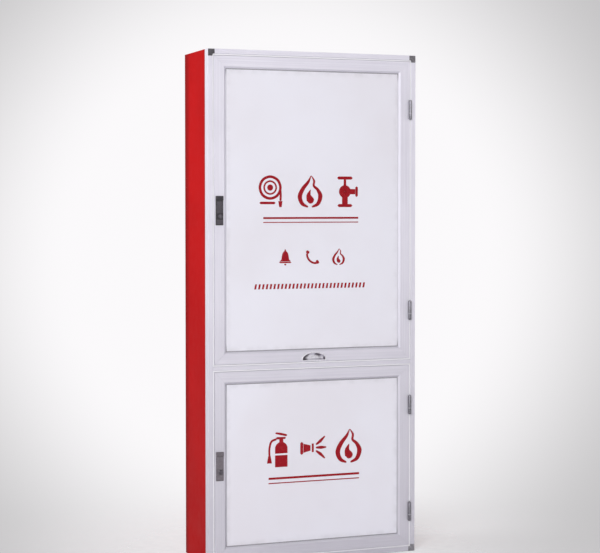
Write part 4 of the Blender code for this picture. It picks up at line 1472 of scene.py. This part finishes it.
@dataclass
class FlushLock:
    """The lock on a door's stile: a moulded housing with ribbed pads, a turning knob and its cam.

    The knob's pocket ends in the bezel, knob_seat in front of the door's face. Its raised lip is given as
    (beyond the pocket, above the bezel) steps, and the knob's rounded rim as (inwards, down) steps. The
    roundings called ends are shares of a width.
    """

    name: str
    width: float = 0.0245
    height: float = 0.0905
    corner: float = 0.0015
    bezel: float = 0.0020
    bezel_round: float = 0.0006
    cap_height: float = 0.014
    cap_proud: float = 0.0045
    cap_round: float = 0.0010
    pad_width: float = 0.0200
    pad_proud: float = 0.0034
    pad_round: float = 0.0003
    pad_gap: float = 0.0020
    groove: float = 0.0014
    groove_depth: float = 0.0009
    ribs: int = 5
    rib_round: float = 0.0007
    rib_short: float = 0.0010
    rib_end: float = 0.42
    body_size: Triple = (0.019, 0.070, 0.014)
    pocket_lip: tuple[Flat, ...] = (
        (0.0014, 0.0), (0.0013, 0.0006), (0.0010, 0.0007), (0.0003, 0.0007), (0.0, 0.0004)
    )
    knob_at: Flat = (0.0030, -0.0180)
    knob_radius: float = 0.0065
    knob_proud: float = 0.0036
    knob_seat: float = 0.0006
    knob_rim: tuple[Flat, ...] = (
        (0.0, 0.0009), (0.0002, 0.0004), (0.0009, 0.0), (0.0016, 0.0001), (0.0020, 0.0005)
    )
    play: float = 0.0006
    grip: Triple = (0.0030, 0.0096, 0.0014)
    grip_round: float = 0.0005
    grip_end: float = 0.35
    cam_end: float = 0.999
    shaft_radius: float = 0.0030
    nut_radius: float = 0.0048
    nut_height: float = 0.0026
    edge: float = 0.0004
    burr: float = 0.0003

    def centre(self) -> Flat:
        """The middle of the housing's face."""
        low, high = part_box(f"{self.name}_lock_housing")
        return (low.x + high.x) / 2, (low.z + high.z) / 2

    def shell(self, shape: Shape, seat: Seat) -> None:
        """Adds the body, bezel and knob pocket as one skin, looped round the bore.

        Args:
            shape: what they are added to.
            seat: the lock's seat.
        """
        wide, tall, deep = self.body_size
        at = np.array(self.knob_at)
        face = oblong((self.width, self.height), self.corner)
        way = np.concatenate([face - at, circle(1.0, 2 * ROUND_STEPS)])
        angles = np.unique(np.round(np.arctan2(way[:, 1], way[:, 0]), 6))
        body = seen_from(oblong((wide, tall), self.corner), self.knob_at, angles)
        steps = [(body, -deep), (body, FIT)]
        for inset, proud in rounded_rim(FIT, self.bezel, self.bezel_round):
            steps.append((seen_from(drawn_in(face, inset), self.knob_at, angles), proud))
        pocket, bore = self.knob_radius + self.play, self.shaft_radius + self.play
        turned = [(pocket + beyond, self.bezel + above) for beyond, above in self.pocket_lip]
        turned += [(pocket, self.knob_seat), (bore, self.knob_seat), (bore, -deep)]
        steps += [(at + radius * rays(angles), proud) for radius, proud in turned]
        shape.stacked(seat, steps, wrap=True)

    def pad(self, shape: Shape, seat: Seat, low: float, high: float) -> None:
        """Adds a pad with upright ribs.

        Args:
            shape: what it is added to.
            seat: the lock's seat.
            low: the pad's lower end.
            high: its upper end.
        """
        root, middle, tall = self.bezel / 2, (low + high) / 2, high - low
        base = oblong((self.pad_width, tall), self.corner, (0.0, middle))
        shape.slab(seat, base, rounded_rim(root, self.pad_proud - self.groove_depth, self.pad_round))
        pitch = self.pad_width / self.ribs
        wide = pitch - self.groove
        for k in range(self.ribs):
            x = (k - (self.ribs - 1) / 2) * pitch
            rib = oblong((wide, tall - self.rib_short), wide * self.rib_end, (x, middle))
            shape.slab(seat, rib, rounded_rim(root, self.pad_proud, self.rib_round))

    def housing(self, plastic: Material) -> None:
        """Builds the housing.

        Args:
            plastic: what it is made of.
        """
        seat = on_front(*self.centre())
        shape = Shape()
        self.shell(shape, seat)
        cap_at = (0.0, (self.height - self.cap_height) / 2)
        cap = oblong((self.width, self.cap_height), self.corner, cap_at)
        shape.slab(seat, cap, rounded_rim(self.bezel / 2, self.cap_proud, self.cap_round))
        room = self.knob_radius + self.play + self.pad_gap
        top = self.height / 2 - self.cap_height - self.pad_gap
        self.pad(shape, seat, self.knob_at[1] + room, top)
        self.pad(shape, seat, self.pad_gap - self.height / 2, self.knob_at[1] - room)
        piece = shape.piece(f"{self.name}_lock_case", plastic)
        attach(piece, Body(f"{self.name}_door"), "lock_plastic", f"{self.name}_lock_housing")

    def knob(self, metal: Material) -> None:
        """Builds the knob, its grip, its shaft and the nut behind the cam.

        Args:
            metal: what they are made of.
        """
        x, z = self.centre()
        seat = on_front(x + self.knob_at[0], z + self.knob_at[1])
        nut_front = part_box(f"{self.name}_lock_cam")[1].y - FRONT_Y + FIT
        shaft, edge, tip = self.shaft_radius, self.edge, -nut_front - self.nut_height
        base, proud = self.knob_seat + FIT, self.knob_proud
        profile = [(shaft - edge, tip), (shaft, tip + edge), (shaft, base), (self.knob_radius, base)]
        profile += [(self.knob_radius - inwards, proud - down) for inwards, down in self.knob_rim]
        shape = Shape().turned(seat, profile)
        wide, tall, high = self.grip
        grip = oblong((wide, tall), wide * self.grip_end)
        shape.slab(seat, grip, rounded_rim(proud / 2, proud + high, self.grip_round))
        angles = np.linspace(0, 2 * np.pi, ROUND_STEPS, endpoint=False)
        nut = seen_from(circle(self.nut_radius, 6), (0.0, 0.0), angles)
        rim = ((edge, 0.0), (0.0, edge), (0.0, self.nut_height - edge), (edge, self.nut_height))
        shape.stacked(seat, [(nut * (1 - inset / self.nut_radius), -nut_front - h) for inset, h in rim])
        self.attach_turning(shape, "turn_knob", metal, "knob")

    def cam(self, metal: Material) -> None:
        """Builds the cam: a flat bar with round ends, its edges just broken.

        Args:
            metal: what it is made of.
        """
        low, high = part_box(f"{self.name}_lock_cam")
        wide, tall = high.x - low.x, high.z - low.z
        seat = on_front((low.x + high.x) / 2, high.z - wide / 2)
        bar = oblong((wide, tall), wide / 2 * self.cam_end, (0.0, (wide - tall) / 2), 2 * ARC_STEPS)
        front, back, burr = FRONT_Y - low.y, FRONT_Y - high.y, self.burr
        edges = ((burr, back), (0.0, back + burr), (0.0, front - burr), (burr, front))
        self.attach_turning(Shape().slab(seat, bar, edges), "cam_bar", metal, "cam")

    def attach_turning(self, shape: Shape, name: str, metal: Material, node: str) -> None:
        """Hangs a piece on the body that turns, instead of the lock's node of that name."""
        piece = shape.piece(f"{self.name}_lock_{name}", metal)
        attach(piece, Body(f"{self.name}_lock"), "lock_zinc", f"{self.name}_lock_{node}")

    def build(self, plastic: Material, metal: Material) -> None:
        """Builds the whole lock.

        Args:
            plastic: what the housing is made of.
            metal: what the knob and the cam are made of.
        """
        self.housing(plastic)
        self.knob(metal)
        self.cam(metal)


@dataclass
class HalfMoonPull:
    """The recessed pull: a bright half-moon cup with a rolled rim.

    The outside of the cup, and then the rim and its inside, are (inset, depth) steps. Inside, past the
    inset of the lip, the cup also drops.
    """

    width: float = 0.084
    height: float = 0.030
    shoulder: float = 0.007
    corner: float = 0.0030
    least_corner: float = 0.0008
    outside: tuple[Flat, ...] = (
        (0.0046, 0.0130), (0.0036, 0.0127), (0.0030, 0.0120), (0.0030, -0.0003)
    )
    inside: tuple[Flat, ...] = (
        (0.0000, -0.0003), (0.0000, -0.0006), (0.00015, -0.00095), (0.0005, -0.0012), (0.0028, -0.0012),
        (0.0035, -0.0010), (0.0040, -0.0004), (0.0042, 0.0004), (0.0048, 0.0020), (0.0066, 0.0060),
        (0.0080, 0.0090), (0.0088, 0.0104), (0.0096, 0.0112), (0.0106, 0.0116),
    )
    lip: float = 0.0042
    drop: float = 0.35
    smooth_angle: float = 50.0
    chrome: ShadowedChrome = ShadowedChrome()

    def outline(self, inset: float) -> np.ndarray:
        """Draws the half moon: a flat base with two round corners under half an ellipse.

        The ellipse is (half cos t, shoulder + rise sin t), and each corner is a quarter of a circle.

        Args:
            inset: how far it is drawn in.

        Returns:
            The outline, counter-clockwise.
        """
        half = self.width / 2 - inset
        corner = max(self.corner - inset, self.least_corner)
        shoulder = max(self.shoulder, inset + corner + self.least_corner)
        quarter = rays(np.linspace(0, np.pi / 2, ARC_STEPS + 1))
        left = -quarter * corner + (corner - half, inset + corner)
        right = quarter[:, ::-1] * (corner, -corner) + (half - corner, inset + corner)
        sweep = rays(np.linspace(0, np.pi, ROUND_STEPS + 1))
        crown = sweep * (half, self.height - inset - shoulder) + (0.0, shoulder)
        return np.concatenate([left, right, crown])

    def build(self) -> None:
        """Builds the cup."""
        node = "upper_door_pull"
        low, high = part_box(node)
        seat = on_front((low.x + high.x) / 2, low.z)
        steps = [(self.outline(inset), -depth) for inset, depth in self.outside]
        for inset, depth in self.inside:
            lower = (0.0, -self.drop * max(inset - self.lip, 0.0))
            steps.append((self.outline(inset) + lower, -depth))
        rise = self.height - self.shoulder
        springs = seat.origin[2] + self.shoulder
        material = self.chrome.material(seat.origin[0], springs, self.width / 2, rise)
        piece = Shape().stacked(seat, steps).piece("half_moon_pull", material, self.smooth_angle)
        attach(piece, Body.UPPER_DOOR, "chrome_pull", node)


@dataclass
class Signs:
    """The generic marks printed on one door, as a thin film of ink.

    Marks are a sign, the x and z of its middle and its height. Rules and dashes are a left and a right
    end, a z and a thickness. A row of dashes leans to the right.
    """

    name: str
    marks: tuple[tuple[Sign, float, float, float], ...]
    rules: tuple[tuple[float, float, float, float], ...]
    dashes: tuple[tuple[float, float, float, float], ...] = ()
    film: float = 0.00012
    bite: float = 0.00005
    extra_film: float = 0.06
    dash_pitch: float = 0.8

    def bar(self, shape: Shape, low: Flat, high: Flat, lean: float = 0.0) -> None:
        """Adds a plain bar of ink, leaning to the right by lean at its top."""
        flat = np.array([low, (high[0], low[1]), (high[0] + lean, high[1]), (low[0] + lean, high[1])])
        shape.stacked(on_front(0.0, 0.0, PANEL_Y), [(flat, -self.bite), (flat, self.film)])

    def build(self, ink: Material) -> None:
        """Prints the door. Each stroke of a sign is a little thicker than the one before.

        Args:
            ink: what it is printed in.
        """
        shape = Shape()
        for sign, x, z, height in self.marks:
            for k, stroke in enumerate(SIGNS[sign]):
                film = self.film * (1 + self.extra_film * k)
                stroke.add_to(shape, on_front(x, z, PANEL_Y), height, self.bite, film)
        for left, right, z, thick in self.rules:
            self.bar(shape, (left, z - thick / 2), (right, z + thick / 2))
        for left, right, z, tall in self.dashes:
            count = round((right - left) / (self.dash_pitch * tall))
            pitch = (right - left) / count
            for x in left + pitch * np.arange(count):
                self.bar(shape, (x, z - tall / 2), (x + pitch / 2, z + tall / 2), pitch / 4)
        attach(shape.piece(f"{self.name}_printed_signs", ink), Body(f"{self.name}_door"), "red_paint")


@dataclass
class Door:
    """One door: its four bars, its enamelled sheet in a rubber gasket, lock, hinges and printed signs.

    The rubber is grey along the rails, and painted lighter, as painted light, where it runs up the stiles.
    """

    name: str
    plastic: MouldedPlastic
    painted_light_on_sides: Triple
    signs: Signs
    rubber: tuple[Triple, Triple] = ((0.29, 0.28, 0.31), (0.37, 0.36, 0.39))
    pores: Flat = (700.0, 0.0001)
    bead: float = 0.038

    def build(self, finishes: dict[str, Material]) -> None:
        """Dresses and builds everything that the door carries.

        Args:
            finishes: the shared materials by name.
        """
        body = f"{self.name}_door"
        dress(finishes["upright"], f"{body}_left_stile", f"{body}_right_stile")
        dress(finishes["level"], f"{body}_top_rail", f"{body}_bottom_rail")
        bottom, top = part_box(f"{body}_bottom_rail")[0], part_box(f"{body}_top_rail")[1]
        low = (bottom.x + self.bead, bottom.z + self.bead)
        high = (top.x - self.bead, top.z - self.bead)
        dress(WhiteEnamel(self.name, low, high).material(), f"{body}_panel")
        label = f"glazing_rubber_{self.name}"
        rubber = SoftStrip(label, *self.rubber, *self.pores, self.painted_light_on_sides, low, high)
        dress(rubber.material(), f"{body}_gasket")
        FlushLock(self.name).build(self.plastic.material(), finishes["zinc"])
        for end in ("top", "bottom"):
            hinge = LiftOffHinge(f"{self.name}_{end}", Body(body))
            hinge.build(finishes["steel"], finishes["nylon"])
        DoorSeal(self.name).build(finishes["foam"])
        self.signs.build(finishes["ink"])


UPPER_DOOR = Door(
    "upper",
    # The upper lock's plastic is painted darker than the lower's, as painted shade
    MouldedPlastic(
        "upper_lock_moulding", (0.022, 0.019, 0.024), (0.060, 0.053, 0.062), (0.14, 0.122, 0.145)
    ),
    (0.66, 0.65, 0.70),
    Signs(
        "upper",
        (
            (Sign.HOSE_REEL, -0.141, 1.163, 0.100),
            (Sign.FLAME, -0.012, 1.163, 0.100),
            (Sign.VALVE, 0.107, 1.163, 0.098),
            (Sign.BELL, -0.095, 0.957, 0.050),
            (Sign.HANDSET, -0.005, 0.957, 0.050),
            (Sign.FLAME, 0.085, 0.957, 0.052),
        ),
        ((-0.168, 0.153, 1.0800, 0.0060), (-0.168, 0.153, 1.0665, 0.0030)),
        ((-0.198, 0.180, 0.8660, 0.0160),),
    ),
)
LOWER_DOOR = Door(
    "lower",
    # The lower lock's plastic is painted greyer than the upper's, as painted light
    MouldedPlastic(
        "lower_lock_moulding", (0.120, 0.105, 0.120), (0.220, 0.198, 0.220), (0.26, 0.230, 0.26)
    ),
    (0.46, 0.45, 0.49),
    Signs(
        "lower",
        (
            (Sign.EXTINGUISHER, -0.115, 0.353, 0.110),
            (Sign.SPRAY, 0.002, 0.353, 0.085),
            (Sign.FLAME, 0.120, 0.353, 0.108),
        ),
        ((-0.151, 0.157, 0.2630, 0.0070), (-0.151, 0.157, 0.2480, 0.0035)),
    ),
)


@dataclass
class Cabinet:
    """The whole fire hydrant cabinet. Its two locks are one moulding in two tones, as painted light and
    shade: the upper one near black, the lower one grey.
    """

    doors: tuple[Door, ...] = (UPPER_DOOR, LOWER_DOOR)
    foam: SoftStrip = SoftStrip("pale_foam", (0.86, 0.85, 0.89), (0.76, 0.75, 0.79), 1400.0, 0.0002)
    nylon: MouldedPlastic = MouldedPlastic("pale_nylon", (0.62, 0.61, 0.63), (0.50, 0.49, 0.50))
    zinc: PlatedMetal = PlatedMetal("dull_zinc", (0.17, 0.16, 0.18), (0.11, 0.10, 0.12))
    steel: PlatedMetal = PlatedMetal("dark_plated_steel", (0.24, 0.235, 0.26), (0.165, 0.16, 0.175))

    def build(self) -> None:
        """Builds the cabinet from the box outwards."""
        finishes = {
            "upright": DrawnAluminium(Grain.ALONG_Z).material(),
            "level": DrawnAluminium(Grain.ALONG_X).material(),
            "foam": self.foam.material(),
            "nylon": self.nylon.material(),
            "zinc": self.zinc.material(),
            "steel": self.steel.material(),
            "ink": ScreenInk().material(),
        }
        SteelBox().build()
        OuterFrame().build(finishes)
        for door in self.doors:
            door.build(finishes)
        HalfMoonPull().build()


def main() -> None:
    """Builds the studio and the cabinet."""
    logging.basicConfig(level=logging.INFO, format="%(name)s: %(message)s")
    Studio().build()
    Cabinet().build()


if __name__ == "__main__":
    main()
